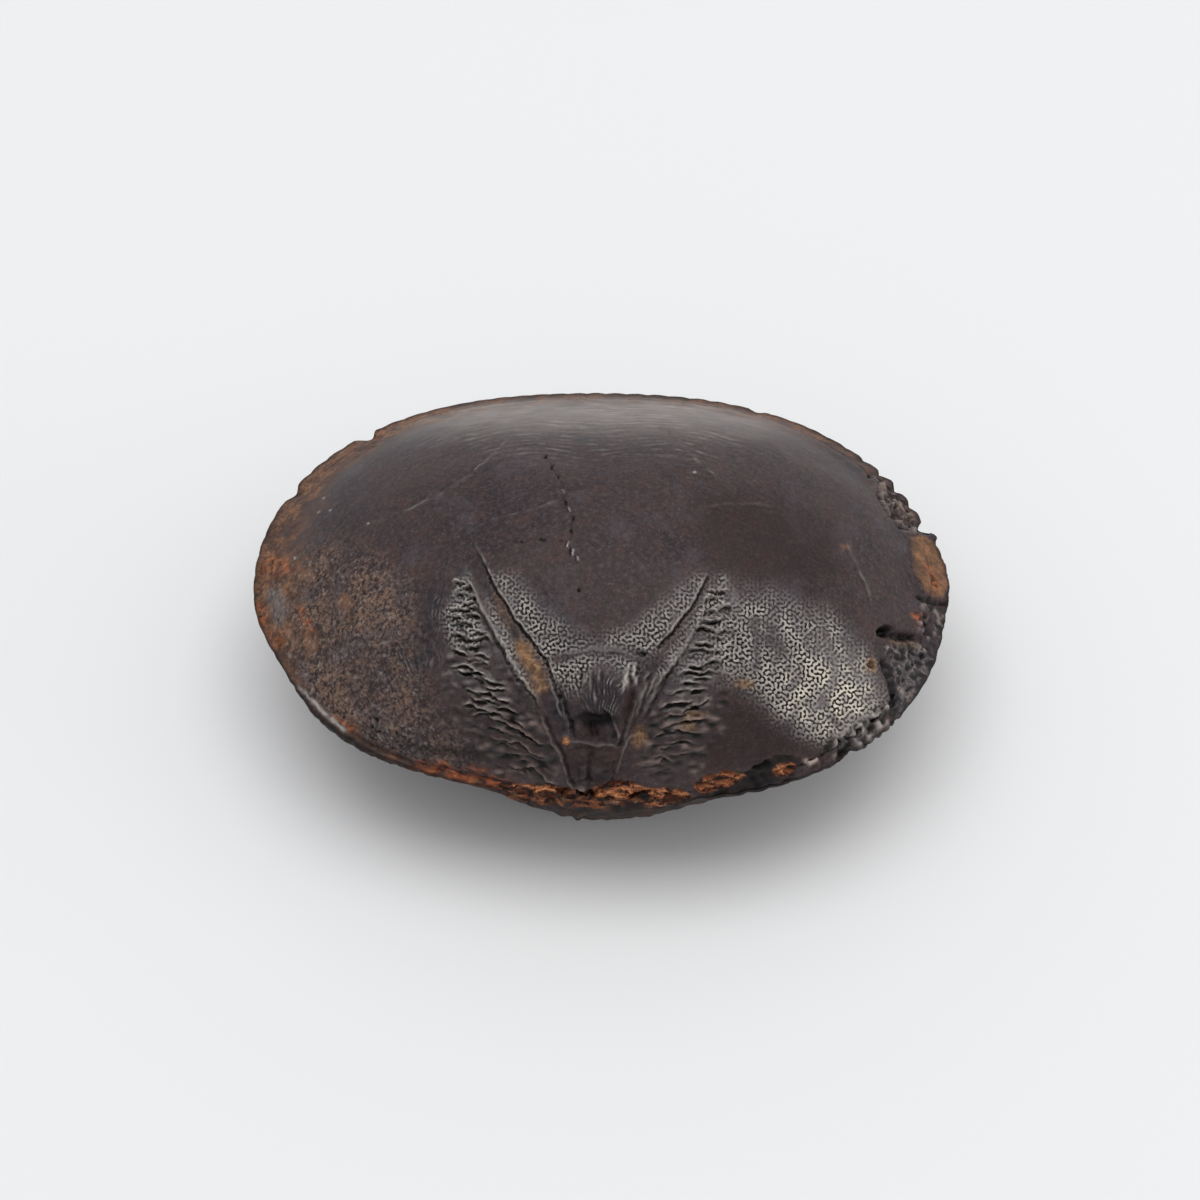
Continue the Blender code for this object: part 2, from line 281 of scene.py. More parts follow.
def crumbs(size, seed, stretch=(1.0, 1.0, 1.0)):
    """Soft noise from about -1 to 1, whose lumps are about this many millimetres across. A stretch
    below 1 makes them longer that way."""
    draw = np.random.default_rng(seed)
    slopes = draw.normal(size=(SLOPE_COUNT, 3))
    spot = (place * stretch) @ TURNED / size + draw.uniform(0.0, 50.0, 3)
    base = np.floor(spot).astype(np.int64)
    part = spot - base
    ease = part * part * (3.0 - 2.0 * part)
    total = np.zeros(len(place))
    for corner in range(8):
        step = np.array([(corner >> axis) & 1 for axis in range(3)])
        weight = np.prod(np.where(step, ease, 1.0 - ease), axis=1)
        cell = (base + step) * SCATTER
        slope = slopes[(cell[:, 0] ^ cell[:, 1] ^ cell[:, 2]) % SLOPE_COUNT]
        total += weight * np.einsum("ij,ij->i", part - step, slope)
    return NOISE_GAIN * total


FACING = math.radians(48)
WOBBLE = 0.6  # mm between the wobbles of a drawn line
straight_across = place[:, 0]
straight_up = place[:, 1] * math.sin(FACING) + (place[:, 2] - RIM_HEIGHT) * math.cos(FACING)
across = straight_across + 0.08 * crumbs(WOBBLE, 1) + 0.04 * crumbs(WOBBLE / 3, 2)
up = straight_up + 0.08 * crumbs(WOBBLE, 3) + 0.04 * crumbs(WOBBLE / 3, 4)
uneven = np.clip(0.75 + 0.45 * crumbs(0.35, 5) + 0.25 * crumbs(0.9, 6), 0.1, 1.3)
lift = np.zeros(len(place))
# Of these tints the near-black one is painted shade, the pale one holds pale crystals and specks and also
# painted highlights, glint is a painted highlight, and the dark brown one is stone colour and also painted
# shade.
TINTS = ("rust", "orange", "ochre", "umber", "pale", "hollow", "polish", "grain", "slate", "weave", "glint")
tint = {name: np.zeros(len(place)) for name in TINTS}
hinge_side = np.sin(angle) < -0.5
drawn_on = on_dome | (hinge_side & (share > 0.9))
chance = np.random.default_rng(7)
print("drawing plane: across", across.min().round(1), "to", across.max().round(1),
      "and up", up[on_dome].min().round(1), "to", up[on_dome].max().round(1))

# %% [markdown]
# ## The tools to draw with
#
# A maker has a gouge, a ball tool and a stencil. Here a stroke follows a bent line, a blob is an oval
# lump or dip, and a patch is a soft-edged shape whose numbers can be multiplied with any pattern.
# All three can leave tints behind, as a brush with paint on it does. They need no brush settings, and
# they give the same stone on every run.

# %% Find the way along a line


def rounded(line, times=2):
    """The same line with its corners cut off, so that it bends smoothly."""
    points = np.array(line, dtype=float)
    for _ in range(times):
        ahead = 0.75 * points[:-1] + 0.25 * points[1:]
        behind = 0.25 * points[:-1] + 0.75 * points[1:]
        middle = np.stack([ahead, behind], axis=1).reshape(-1, 2)
        points = np.vstack([points[:1], middle[1:-1], points[-1:]])
    return points


def along(line, reach):
    """Finds the points near a line: their numbers, how far they lie from it and to which side (plus is
    to the left of someone who walks along it), and how far along it they are, from 0 to 1."""
    line = rounded(line)
    low, high = line.min(axis=0) - reach, line.max(axis=0) + reach
    inside = (across > low[0]) & (across < high[0]) & (up > low[1]) & (up < high[1])
    near = np.flatnonzero(inside & drawn_on)
    x, y = across[near], up[near]
    lengths = np.hypot(*np.diff(line, axis=0).T)
    gone = np.concatenate([[0.0], np.cumsum(lengths)])
    best, side, way = np.full(len(near), np.inf), np.zeros(len(near)), np.zeros(len(near))
    for (x0, y0), (x1, y1), length, start in zip(line, line[1:], lengths, gone):
        dx, dy = (x1 - x0) / length, (y1 - y0) / length
        run = np.clip((x - x0) * dx + (y - y0) * dy, 0.0, length)
        off = np.hypot(x - x0 - run * dx, y - y0 - run * dy)
        closer = off < best
        best = np.where(closer, off, best)
        side = np.where(closer, np.sign((y - y0) * dx - (x - x0) * dy), side)
        way = np.where(closer, (start + run) / gone[-1], way)
    return near, best * side, way


print("a bent line of 3 points is drawn with", len(rounded(((0, 0), (1, 0), (1, 1)))))

# %% Strokes, blobs, patches and waves


def hump(distance, width):
    """1 on a line, falling off to both sides."""
    return np.exp(-((distance / width) ** 2))


def tinge(where=slice(None), **amounts):
    """Raises tints to these amounts where they are weaker, on all points or on the numbered ones."""
    for name, amount in amounts.items():
        tint[name][where] = np.maximum(tint[name][where], amount)


def fading(way, start, end):
    """1 along a stroke, and 0 at its two ends, which take these shares of it."""
    rise = ramp(way, 0.0, start) if start else 1.0
    return rise * (1.0 - ramp(way, 1.0 - end, 1.0) if end else 1.0)


def stroke(line, width, height, ends=(0.15, 0.15), **tints):
    """A ridge along a line, or a groove where the height is negative, and what it is tinted with."""
    near, off, way = along(line, 3.0 * width)
    strength = hump(off, width) * fading(way, *ends) * uneven[near]
    lift[near] += height * strength
    tinge(near, **{name: amount * strength for name, amount in tints.items()})


def blob(where, half, height, flat=0.35, **tints):
    """A lump, or a dip where the height is negative, with an oval foot."""
    inside = (np.abs(across - where[0]) < 1.3 * half[0]) & (np.abs(up - where[1]) < 1.3 * half[1])
    near = np.flatnonzero(inside & drawn_on)
    reach = np.hypot((across[near] - where[0]) / half[0], (up[near] - where[1]) / half[1])
    strength = 1.0 - ramp(reach, flat, 1.15)
    lift[near] += height * strength
    tinge(near, **{name: amount * strength for name, amount in tints.items()})


def patch(corners, soft):
    """1 inside a shape with these corners, 0 outside it, and soft between."""
    corners = rounded(list(corners) + [corners[0]], 1)
    near, off, _ = along(corners, soft)
    inside = np.zeros(len(place), dtype=bool)
    for (x0, y0), (x1, y1) in zip(corners, corners[1:]):
        crosses = (y0 > up) != (y1 > up)
        inside ^= crosses & (across < (x1 - x0) * (up - y0) / (y1 - y0 + 1e-12) + x0)
    cover = (inside & drawn_on).astype(float)
    from_edge = np.where(inside[near], np.abs(off), -np.abs(off))
    cover[near] = np.where(np.abs(off) < soft, ramp(from_edge, -soft, soft), cover[near])
    return cover


def waves(pitch, count, seed, spread=0.15):
    """A smooth field of crossing waves, all of about one length: about -1 to 1."""
    draw = np.random.default_rng(seed)
    field = np.zeros(len(place))
    for _ in range(count):
        way = draw.normal(size=3)
        way *= 2 * np.pi / (pitch * (1.0 + spread * draw.uniform(-1, 1))) / np.linalg.norm(way)
        field += np.cos(place @ way + draw.uniform(0, 2 * np.pi))
    return field / math.sqrt(count / 2)


print("tints that can be drawn with:", ", ".join(TINTS))

# %% [markdown]
# ## The two clefts
#
# Two thin plates of shell stood between the muscles, and where they dissolved they left the clefts
# that make the V. Each is a slot with one crisp wall: the field between the clefts stands proud, and
# the strip outside lies lower and rises slowly. A plain groove would look like a scratch, so the
# cross-section is built from three parts: a lip, a slot and a lowered strip.

# %% Cut the clefts
LEFT_CLEFT = ((-6.7, 2.9), (-6.35, 2.3), (-5.7, 0.95), (-5.2, 0.05),
              (-4.15, -1.65), (-2.85, -3.2), (-2.3, -4.25), (-2.05, -5.1))
RIGHT_CLEFT = ((5.85, 1.2), (5.4, 0.15), (4.65, -0.9), (3.85, -2.05), (2.95, -2.95))
LEFT_CHANNEL = ((-2.35, -4.5), (-2.15, -5.4), (-1.95, -6.35), (-1.5, -7.75))
RIGHT_LOWER_CLEFT = ((2.3, -3.2), (2.05, -3.75), (2.05, -4.5), (1.65, -5.8), (1.3, -7.9))
LEFT_STRIP = ((-6.3, 2.1), (-6.0, 1.4), (-5.0, -0.5), (-3.95, -2.4), (-3.1, -3.9), (-2.85, -5.6))
RIGHT_STRIP = ((5.9, 0.2), (5.7, -0.4), (4.55, -2.0), (3.35, -3.7), (2.6, -5.5))


def cleft(line, inward, slot, slot_width, fall, strip_width, lip, ends):
    """The slot's depth and width, how far the strip outside it lies lower, and how proud the lip is.
    inward is 1 where the V's middle is on the left of the line, and -1 where it is on the right."""
    near, off, way = along(line, strip_width + 0.6)
    off = off * inward
    strength = fading(way, *ends)
    strip = ramp(-off, 0.0, 0.12) * (1.0 - ramp(-off, 0.5 * strip_width, strip_width))
    crest = np.where(off > 0, hump(off - 0.07, 0.06), 0.0) * uneven[near]
    cut = hump(off + 0.05, slot_width)
    lift[near] += strength * (lip * crest - fall * strip - slot * cut)
    # Painted shade fills the slot, and a painted highlight runs along the lip.
    tinge(near, hollow=strength * hump(off + 0.05, slot_width), pale=0.75 * strength * crest)


cleft(LEFT_CLEFT, inward=1, slot=0.26, slot_width=0.065, fall=0.2, strip_width=1.25, lip=0.09,
      ends=(0.3, 0.1))
cleft(RIGHT_CLEFT, inward=-1, slot=0.2, slot_width=0.06, fall=0.12, strip_width=1.1, lip=0.07,
      ends=(0.15, 0.06))
stroke(LEFT_CHANNEL, 0.5, -0.42, (0.3, 0.2), slate=0.9)
# Painted shade darkens the channel's deepest line, the lower right cleft and the two small holes by the
# right cleft.
stroke([(x + 0.25, y) for x, y in LEFT_CHANNEL], 0.14, -0.22, (0.2, 0.2), hollow=0.7)
stroke(RIGHT_LOWER_CLEFT, 0.09, -0.12, (0.2, 0.1), hollow=0.35)
stroke(LEFT_STRIP, 0.5, 0.12, (0.2, 0.2))
stroke(((-4.3, -2.3), (-3.6, -3.4), (-3.15, -4.3), (-2.95, -5.4)), 0.4, 0.03, (0.2, 0.12), ochre=1.1)
stroke(((-5.6, 0.2), (-5.0, -0.9), (-4.3, -2.2)), 0.3, 0.0, (0.3, 0.3), ochre=0.3)
stroke(RIGHT_STRIP, 0.5, 0.1, (0.2, 0.2))
stroke(((2.55, -3.35), (2.3, -3.2), (2.15, -3.35)), 0.14, -0.3, (0.1, 0.1), hollow=1.0)
stroke(((2.0, -2.95), (2.1, -3.15), (1.95, -3.3)), 0.1, -0.15, (0.1, 0.1), hollow=0.8)
print("deepest cut so far:", lift.min().round(2), "mm")

# %% [markdown]
# ## The stair of ledges
#
# Outside each cleft the muscle moved outwards as the animal grew, and each year's rest left a small
# ledge. They overlap like scales: each one has a bright crest and a dark undercut below it, and no
# two have the same length. So each ledge is its own short stroke, laid out along a guide line, with
# small seeded changes of length, bow and tilt.

# %% Carve the ledges
LEFT_GUIDE = (
    (-6.9, 0.4), (-6.95, -1.5), (-6.6, -3.5), (-5.9, -5.4), (-4.8, -7.1), (-3.7, -8.7),
    (-3.1, -9.8),
)
RIGHT_GUIDE = ((6.3, 0.2), (6.2, -1.5), (5.7, -3.2), (5.1, -4.8), (4.6, -6.4), (3.8, -8.1), (3.2, -9.5))
LEDGE_LENGTHS = ((0.0, 0.8), (0.25, 1.4), (0.55, 2.0), (0.8, 1.9), (1.0, 1.4))  # share of the guide, mm
LEFT_TILTS = ((0.0, -0.1), (0.4, -0.2), (0.7, -0.32), (1.0, -0.4))  # slope of each ledge
RIGHT_TILTS = ((0.0, 0.15), (0.35, 0.05), (0.6, 0.15), (0.8, 0.1), (1.0, 0.0))
LEDGE_PITCH = 0.54


def ledge(middle, length, tilt, bow, height):
    """One scale: it swells towards its crest, and drops below it into an undercut."""
    steps = np.linspace(-1.0, 1.0, 8)
    wiggle = 0.07 * np.cumsum(chance.normal(size=8))
    wiggle -= np.linspace(wiggle[0], wiggle[-1], 8)
    line = np.stack([middle[0] + steps * length / 2,
                     middle[1] + steps * length / 2 * tilt + bow * (1.0 - steps**2) + wiggle], axis=1)
    near, off, way = along(line, 0.55)
    strength = fading(way, 0.3, 0.3) * uneven[near]
    crest = hump(off - 0.03, 0.055)
    swell = np.where(off > 0, 1.0 - ramp(off, 0.04, 0.45), 0.0)
    under = hump(off + 0.1, 0.075)
    lift[near] += height * strength * (0.45 * swell + 0.5 * crest - 0.95 * under)
    # The crest gets a painted highlight and the undercut painted shade.
    tinge(near, pale=1.1 * strength * crest * min(1.0, height / 0.16),
          hollow=1.5 * strength * under * min(1.0, height / 0.13))


def stair(guide, tilts, bow, columns, pitch):
    """Ledges all the way down a guide line, in columns that overlap, so that no row runs right across."""
    guide = rounded(guide)
    lengths = np.concatenate([[0.0], np.cumsum(np.hypot(*np.diff(guide, axis=0).T))])
    count = int(lengths[-1] / pitch)
    for number in range(count):
        for column in columns:
            way = (number + 0.5 + 0.5 * column + 0.25 * chance.uniform(-1, 1)) / count
            length = np.interp(way, *zip(*LEDGE_LENGTHS)) * chance.uniform(0.55, 1.05)
            middle = [np.interp(way * lengths[-1], lengths, guide[:, axis]) for axis in (0, 1)]
            middle[0] += 0.42 * length * column + 0.15 * chance.uniform(-1, 1)
            tilt = np.interp(way, *zip(*tilts)) + 0.14 * chance.uniform(-1, 1)
            height = (0.21 - 0.11 * ramp(way, 0.55, 0.9)) * chance.uniform(0.6, 1.25)
            ledge(middle, length, tilt, bow * chance.uniform(0.2, 1.4), height)
    return count * len(columns)


LEFT_ZONE = ((-6.9, 1.2), (-7.9, -0.9), (-8.2, -3.0), (-8.0, -5.0), (-7.2, -7.0), (-5.6, -9.4),
             (-2.6, -10.0), (-1.9, -8.4), (-2.9, -6.6), (-4.9, -3.4), (-6.1, -1.2), (-6.6, 0.4))
RIGHT_ZONE = ((6.4, 0.9), (7.1, 0.0), (7.3, -1.6), (7.2, -3.6), (6.9, -5.7), (6.2, -7.8), (5.0, -9.7),
              (2.4, -9.9), (1.9, -8.0), (2.9, -6.0), (4.3, -3.6), (5.5, -1.7))
zone_left, zone_right = patch(LEFT_ZONE, 0.4), patch(RIGHT_ZONE, 0.4)
rough = crumbs(0.26, 13, (0.5, 1.0, 1.0))
low_down = ramp(-up, 4.5, 7.0)
lift += (zone_left + 0.8 * zone_right) * ((0.05 + 0.04 * low_down) * rough + 0.04 * crumbs(0.7, 14) - 0.08)
both_zones = np.maximum(zone_left, zone_right)
# Painted shade in the rough zones' low spots and a painted highlight on their high ones; lower down the
# ledges are painted darker brown.
tinge(hollow=(0.8 + 0.3 * low_down) * unit(-1.6 * rough - 0.3) * both_zones,
      pale=(0.3 + 0.4 * low_down) * unit(1.5 * rough - 0.5) * both_zones, umber=0.9 * both_zones * low_down)
print("ledges:", stair(LEFT_GUIDE, LEFT_TILTS, 0.12, (-1, 0, 1), 0.6), "left,",
      stair(RIGHT_GUIDE, RIGHT_TILTS, 0.12, (-0.7, 0.5), LEDGE_PITCH), "right")

# %% [markdown]
# ## Beside the ledges
#
# A second groove runs between the ledges and the smooth strip, with a bright ridge beside it. The
# ledges' outer ends make a bumpy rim, and on the left a dark valley follows it.

# %% Grooves, rims and the valley
LEFT_SECOND = ((-7.05, 0.95), (-6.25, -0.9), (-5.35, -2.45), (-4.9, -3.25), (-4.15, -4.5), (-2.85, -6.35))
RIGHT_SECOND = ((6.15, 0.15), (5.4, -1.65), (4.65, -2.95), (3.85, -3.9), (2.85, -5.8), (2.05, -7.1))
LEFT_RIDGE = ((-3.05, -6.2), (-2.95, -6.5), (-2.3, -7.9), (-1.55, -9.5), (-1.05, -10.7))
RIGHT_RIDGE = ((1.9, -7.35), (1.3, -7.95), (0.95, -9.5))
LEFT_VALLEY = ((-8.0, 0.9), (-8.75, -0.4), (-9.1, -2.5), (-8.85, -5.0))

# Each groove gets painted shade and each ridge a painted highlight.
stroke(LEFT_SECOND, 0.09, -0.2, (0.15, 0.15), hollow=0.75)
stroke([(x + 0.2, y + 0.08) for x, y in LEFT_SECOND], 0.1, 0.1, (0.15, 0.25), pale=0.55)
stroke(RIGHT_SECOND, 0.08, -0.16, (0.15, 0.15), hollow=0.6)
stroke([(x - 0.2, y + 0.08) for x, y in RIGHT_SECOND], 0.1, 0.09, (0.15, 0.25), pale=0.35)
stroke(LEFT_RIDGE, 0.055, 0.2, (0.1, 0.1), pale=0.5)
stroke([(x + 0.16, y) for x, y in LEFT_RIDGE], 0.1, -0.15, (0.1, 0.2), hollow=0.6)
stroke(RIGHT_RIDGE, 0.055, 0.18, (0.1, 0.2), pale=0.4)


def wrinkles(line, reach, pitch, height):
    """Thin ridges side by side that follow a line, broken here and there."""
    near, off, way = along(line, reach)
    broken = unit(0.2 + 1.3 * crumbs(0.45, 15)[near])
    strength = (1.0 - ramp(np.abs(off), 0.4 * reach, reach)) * fading(way, 0.2, 0.3)
    crease = np.cos(2 * np.pi * (off + 0.22 * crumbs(0.9, 18)[near]) / pitch)
    lift[near] += height * strength * crease * broken
    # Painted highlight on the crests and painted shade in the troughs.
    tinge(near, pale=0.3 * strength * broken * unit(crease) ** 2,
          hollow=0.5 * strength * broken * unit(-crease) ** 2)


stroke(LEFT_VALLEY, 0.75, -0.16, (0.25, 0.3), slate=0.9)
wrinkles([(x + 0.4, y) for x, y in LEFT_VALLEY], 0.7, 0.21, 0.03)
LEFT_SATIN = ((-10.6, -1.2), (-10.1, -2.8), (-9.5, -4.6), (-9.2, -5.8))
stroke(LEFT_SATIN, 0.6, 0.04, (0.3, 0.3), slate=0.6)
wrinkles(LEFT_SATIN, 0.75, 0.19, 0.022)
print("height now runs from", lift.min().round(2), "to", lift.max().round(2), "mm")

# %% [markdown]
# ## The nose, the recess and the block
#
# Between the clefts the field ends in a rounded nose with hair-fine lines that run together below
# it. Under the nose is a recess with two round lobes in it, darkened with painted shade, and under
# that a square block with an upright groove. Fine lines that run together are drawn as stripes of the
# direction to one point.

# %% Model the middle
FORMS = (
    ((-0.1, -4.4), (2.2, 1.6), 0.22, 0.2),
    ((0.3, -5.15), (1.3, 1.5), 0.34, 0.3),
    ((-0.1, -6.9), (1.4, 0.9), -0.55, 0.1),
    ((-0.78, -7.15), (0.62, 0.5), 0.42, 0.2),
    ((0.34, -7.2), (0.6, 0.5), 0.45, 0.2),
    ((1.75, -6.5), (0.6, 1.5), -0.22, 0.3),
    ((-1.0, -9.0), (0.75, 1.15), 0.2, 0.4),
    ((0.3, -8.9), (0.75, 1.1), 0.24, 0.4),
)  # where, half sizes, height, flat share of the top
for where, half, height, flat in FORMS:
    blob(where, half, height, flat)
blob((0.1, -6.3), (1.6, 1.0), 0.0, slate=0.5)
# Painted shade darkens the recess under the nose and its two lobes.
blob((-0.1, -6.62), (1.3, 0.42), 0.0, 0.6, hollow=0.85)
blob((-0.2, -7.2), (1.3, 0.65), 0.0, umber=0.8)
# The grooves below get painted shade and the ridges beside them painted highlights.
stroke(((-1.35, -6.7), (-1.36, -7.1), (-1.25, -7.6)), 0.09, -0.15, hollow=0.8)
stroke(((-0.25, -6.8), (-0.22, -7.3), (-0.25, -7.65)), 0.09, -0.16, hollow=0.85)
stroke(((0.25, -5.7), (0.6, -6.3), (0.85, -6.8), (1.1, -7.65)), 0.06, 0.16, (0.2, 0.1), pale=0.4)
stroke(((0.1, -5.9), (0.45, -6.5), (0.75, -7.0), (0.9, -7.6)), 0.1, -0.25, (0.2, 0.1), hollow=0.9)
stroke(((2.0, -5.4), (1.75, -6.4), (1.35, -7.7)), 0.07, 0.12, (0.2, 0.1), pale=0.3)
stroke(((1.5, -7.0), (1.3, -7.6), (1.05, -8.0)), 0.09, -0.2, (0.2, 0.1), hollow=0.85)
# Painted shade in the dip to the right of the nose.
blob((1.6, -6.3), (0.55, 1.3), 0.0, umber=0.7)
stroke(((-1.6, -7.9), (-1.04, -7.72), (-0.2, -7.98), (0.5, -7.78), (1.04, -8.04)), 0.05, 0.09, pale=0.3)
stroke(((-1.5, -8.05), (-0.3, -8.1), (0.9, -8.2)), 0.08, -0.08, hollow=0.4)
stroke(((-0.4, -8.2), (-0.46, -9.2), (-0.44, -10.1)), 0.09, -0.22, hollow=0.85)
stroke(((0.85, -8.6), (0.75, -9.3), (0.8, -10.0)), 0.08, -0.16, hollow=0.6)
stroke(((-1.05, -8.7), (-0.95, -9.4), (-1.0, -9.9)), 0.08, -0.1, hollow=0.5)
blob((-0.3, -9.0), (1.7, 1.3), 0.0, 0.7, umber=0.75)
block = patch(((-1.5, -8.0), (0.9, -8.1), (0.9, -10.1), (-0.9, -10.2)), 0.3)
lift += block * (0.05 * rough + 0.06 * crumbs(0.6, 20))
# Painted shade in the block's low spots and a painted highlight on its high ones.
tinge(hollow=0.6 * block * unit(-1.5 * rough - 0.1), pale=0.12 * block * unit(1.5 * rough))
blob((0.3, -9.98), (0.35, 0.22), 0.1, orange=0.9)


hair_gaps, hair_sway = crumbs(0.35, 25), crumbs(0.45, 26, (1.0, 0.55, 0.55))


def fan(where, half, pole, lines, height, bend, **tints):
    """Fine lines inside an oval that run together towards a pole."""
    beside, above = np.abs(straight_across - where[0]), np.abs(straight_up - where[1])
    near = np.flatnonzero((beside < 1.2 * half[0]) & (above < 1.2 * half[1]) & on_dome)
    x, y = straight_across[near] - pole[0], straight_up[near] - pole[1]
    oval = np.hypot((across[near] - where[0]) / half[0], (up[near] - where[1]) / half[1])
    strength = (1.0 - ramp(oval, 0.5, 1.1)) * np.clip(0.6 + 0.7 * hair_gaps[near], 0.1, 1.2)
    turn = np.arctan2(x, y) + bend * np.sin(0.9 * y + 0.5 * x)
    line = np.cos(lines * turn + 4.5 * hair_sway[near])
    lift[near] += height * strength * line
    # Painted highlight on the fine lines and painted shade between them.
    tinge(near, pale=0.8 * strength * unit(line) ** 2 * unit(0.4 + 1.5 * hair_gaps[near]),
          hollow=1.0 * strength * unit(-line) ** 2)
    tinge(near, **{name: amount * strength for name, amount in tints.items()})


fan((0.3, -5.2), (1.25, 1.5), (0.35, -8.2), 96, 0.055, 0.06, slate=0.85)
fan((-1.3, -4.6), (1.0, 1.1), (0.4, -9.0), 130, 0.04, 0.04)
# The last number of each ray is the strength of its painted highlight.
RAYS = (
    (1.5, -4.35, 0.1, 1.5, 0.1, 0.2, 1.5), (1.85, -4.1, 0.15, 0.9, 0.08, 0.14, 1.6),
    (1.95, -4.6, 0.2, 0.8, 0.07, 0.12, 1.2), (1.3, -4.9, 0.05, 0.9, 0.06, 0.1, 1.0),
    (2.3, -5.2, 0.45, 1.5, 0.1, 0.14, 0.45), (2.75, -4.9, 0.6, 1.5, 0.09, 0.12, 0.6),
    (3.2, -4.6, 0.75, 1.3, 0.1, 0.12, 0.7), (2.5, -4.4, 0.5, 0.7, 0.07, 0.08, 0.4),
    (2.1, -6.0, 0.4, 1.2, 0.08, 0.1, 0.35), (-2.35, -5.1, -0.2, 1.5, 0.07, 0.12, 0.5),
    (-2.1, -5.9, -0.25, 1.6, 0.06, 0.12, 0.55), (-1.8, -6.2, -0.2, 1.5, 0.06, 0.1, 0.45),
    (-1.6, -6.9, -0.15, 1.1, 0.06, 0.1, 0.4), (-0.35, -4.6, 0.0, 1.3, 0.07, 0.1, 0.5),
    (0.1, -4.3, 0.05, 0.9, 0.06, 0.08, 0.35),
)  # across, up, lean, length, width, height, brightness
# Each ray is a ridge with a painted highlight and a groove beside it with painted shade.
for x, y, lean, length, width, height, painted_light in RAYS:
    ray = ((x + lean * length / 2, y + length / 2), (x, y), (x - lean * length / 2, y - length / 2))
    stroke(ray, width, height, (0.25, 0.35), pale=painted_light)
    stroke([(u + 0.16, v - 0.05) for u, v in ray], width, -0.9 * height, (0.25, 0.35), hollow=0.75)
stroke(((-2.16, -3.55), (-1.3, -3.15), (-0.5, -3.03), (1.1, -3.12), (2.16, -3.46)), 0.12, 0.08, umber=0.6)
print("middle modelled, with", len(RAYS), "rays beside the nose")

# %% [markdown]
# ## The polished skin
#
# Over the shoulder and the right flank the stone keeps the print of the shell's inner skin: a fine
# labyrinth like brain coral, of broad light threads with thin dark gaps, a quarter of a millimetre
# from thread to thread. It could be painted, but worm tracks like these appear by themselves when
# many waves of nearly one length cross at random angles. The same waves raise the mesh here and later
# paint a highlight on the threads and shade in the gaps, so that the painted light and the relief agree.

# %% Cross the waves
WORM_PITCH = 0.24
WAVE_COUNT = 12
draw = np.random.default_rng(11)
worms = []  # each wave's direction and its shift
for number in range(WAVE_COUNT):
    turn = math.pi * (number + draw.uniform(-0.4, 0.4)) / WAVE_COUNT
    way = np.array([math.cos(turn), math.sin(turn) * math.sin(FACING), math.sin(turn) * math.cos(FACING)])
    way += draw.uniform(-0.35, 0.35) * np.array([0.0, -math.cos(FACING), math.sin(FACING)])
    way *= 2 * math.pi / (WORM_PITCH * (1.0 + 0.32 * draw.uniform(-1, 1))) / np.linalg.norm(way)
    worms.append((way, draw.uniform(0, 2 * math.pi)))
worm_field = sum(np.cos(place @ way + shift) for way, shift in worms) / math.sqrt(WAVE_COUNT / 2)
track = 2.0 * ramp(worm_field, -0.8, 0.1) - 1.0
print("threads cover", round(100 * float((track > 0).mean())), "% of the field")

# %% Print the labyrinth
RIGHT_FLANK = ((6.4, 0.3), (7.4, 0.2), (9.6, -0.4), (12.2, -1.2), (14.0, -2.9), (14.8, -5.1), (14.8, -7.3),
               (13.2, -8.1), (11.3, -7.7), (9.5, -6.7), (8.4, -5.5), (7.1, -4.1), (6.4, -3.2), (6.2, -1.5))
MIDDLE_FIELD = (
    (-5.5, 0.7), (-4.6, 0.9), (-3.6, -0.2), (-2.6, -1.4), (-1.4, -2.0), (0.0, -2.25), (2.0, -1.8),
    (3.1, -0.8), (4.2, -0.1), (5.5, 0.9), (5.5, 0.2), (3.0, -2.9), (2.1, -3.5), (1.7, -4.6),
    (0.8, -3.5), (-0.3, -3.5), (-0.9, -5.2), (-2.1, -5.0), (-2.4, -4.2), (-4.2, -1.6),
)
LEFT_UPPER = ((-6.8, 0.9), (-7.8, -0.2), (-8.2, -1.6), (-7.6, -3.2), (-5.9, -3.0), (-6.3, -1.0))
LEFT_STRIP_OUTER = (
    (-5.9, 0.0), (-5.1, -1.3), (-4.4, -2.6), (-3.7, -4.3), (-3.1, -5.9), (-4.3, -4.2), (-5.6, -1.9),
)
RIGHT_STRIP_OUTER = (
    (5.9, 0.2), (4.9, -1.4), (3.6, -3.1), (2.9, -4.6), (3.6, -4.3), (5.0, -2.2), (6.1, -0.4),
)
GAPS = (((11.7, -1.3), (12.2, -2.9), (12.5, -4.5), (11.9, -5.7)), ((8.0, -1.2), (8.3, -3.0), (8.1, -4.6)))

THREAD_HEIGHT = 0.036
SWELL_HEIGHT = 0.03

flank, middle_field = patch(RIGHT_FLANK, 1.0), patch(MIDDLE_FIELD, 0.7)
middle_field *= 1.0 - 0.5 * hump(across + 0.2, 1.3) * ramp(up, -3.2, -2.2)
left_upper = patch(LEFT_UPPER, 0.4)
left_outer, right_outer = patch(LEFT_STRIP_OUTER, 0.3), patch(RIGHT_STRIP_OUTER, 0.3)
high_ledges = zone_right * ramp(up, -5.5, -3.5)
printed = flank + middle_field + left_upper + 0.9 * left_outer + 0.8 * right_outer + 0.45 * high_ledges
printed = unit(printed)
for gap in GAPS:
    near, off, way = along(gap, 1.0)
    printed[near] *= 1.0 - 0.75 * hump(off, 0.28) * fading(way, 0.2, 0.2)
arch, off, _ = along(((-2.16, -3.5), (-0.5, -3.0), (1.1, -3.1), (2.16, -3.4)), 0.5)
printed[arch] *= 1.0 - 0.9 * hump(off, 0.35)
printed *= np.clip(0.75 + 0.5 * crumbs(1.6, 12) + 0.45 * crumbs(0.6, 17), 0.1, 1.0)
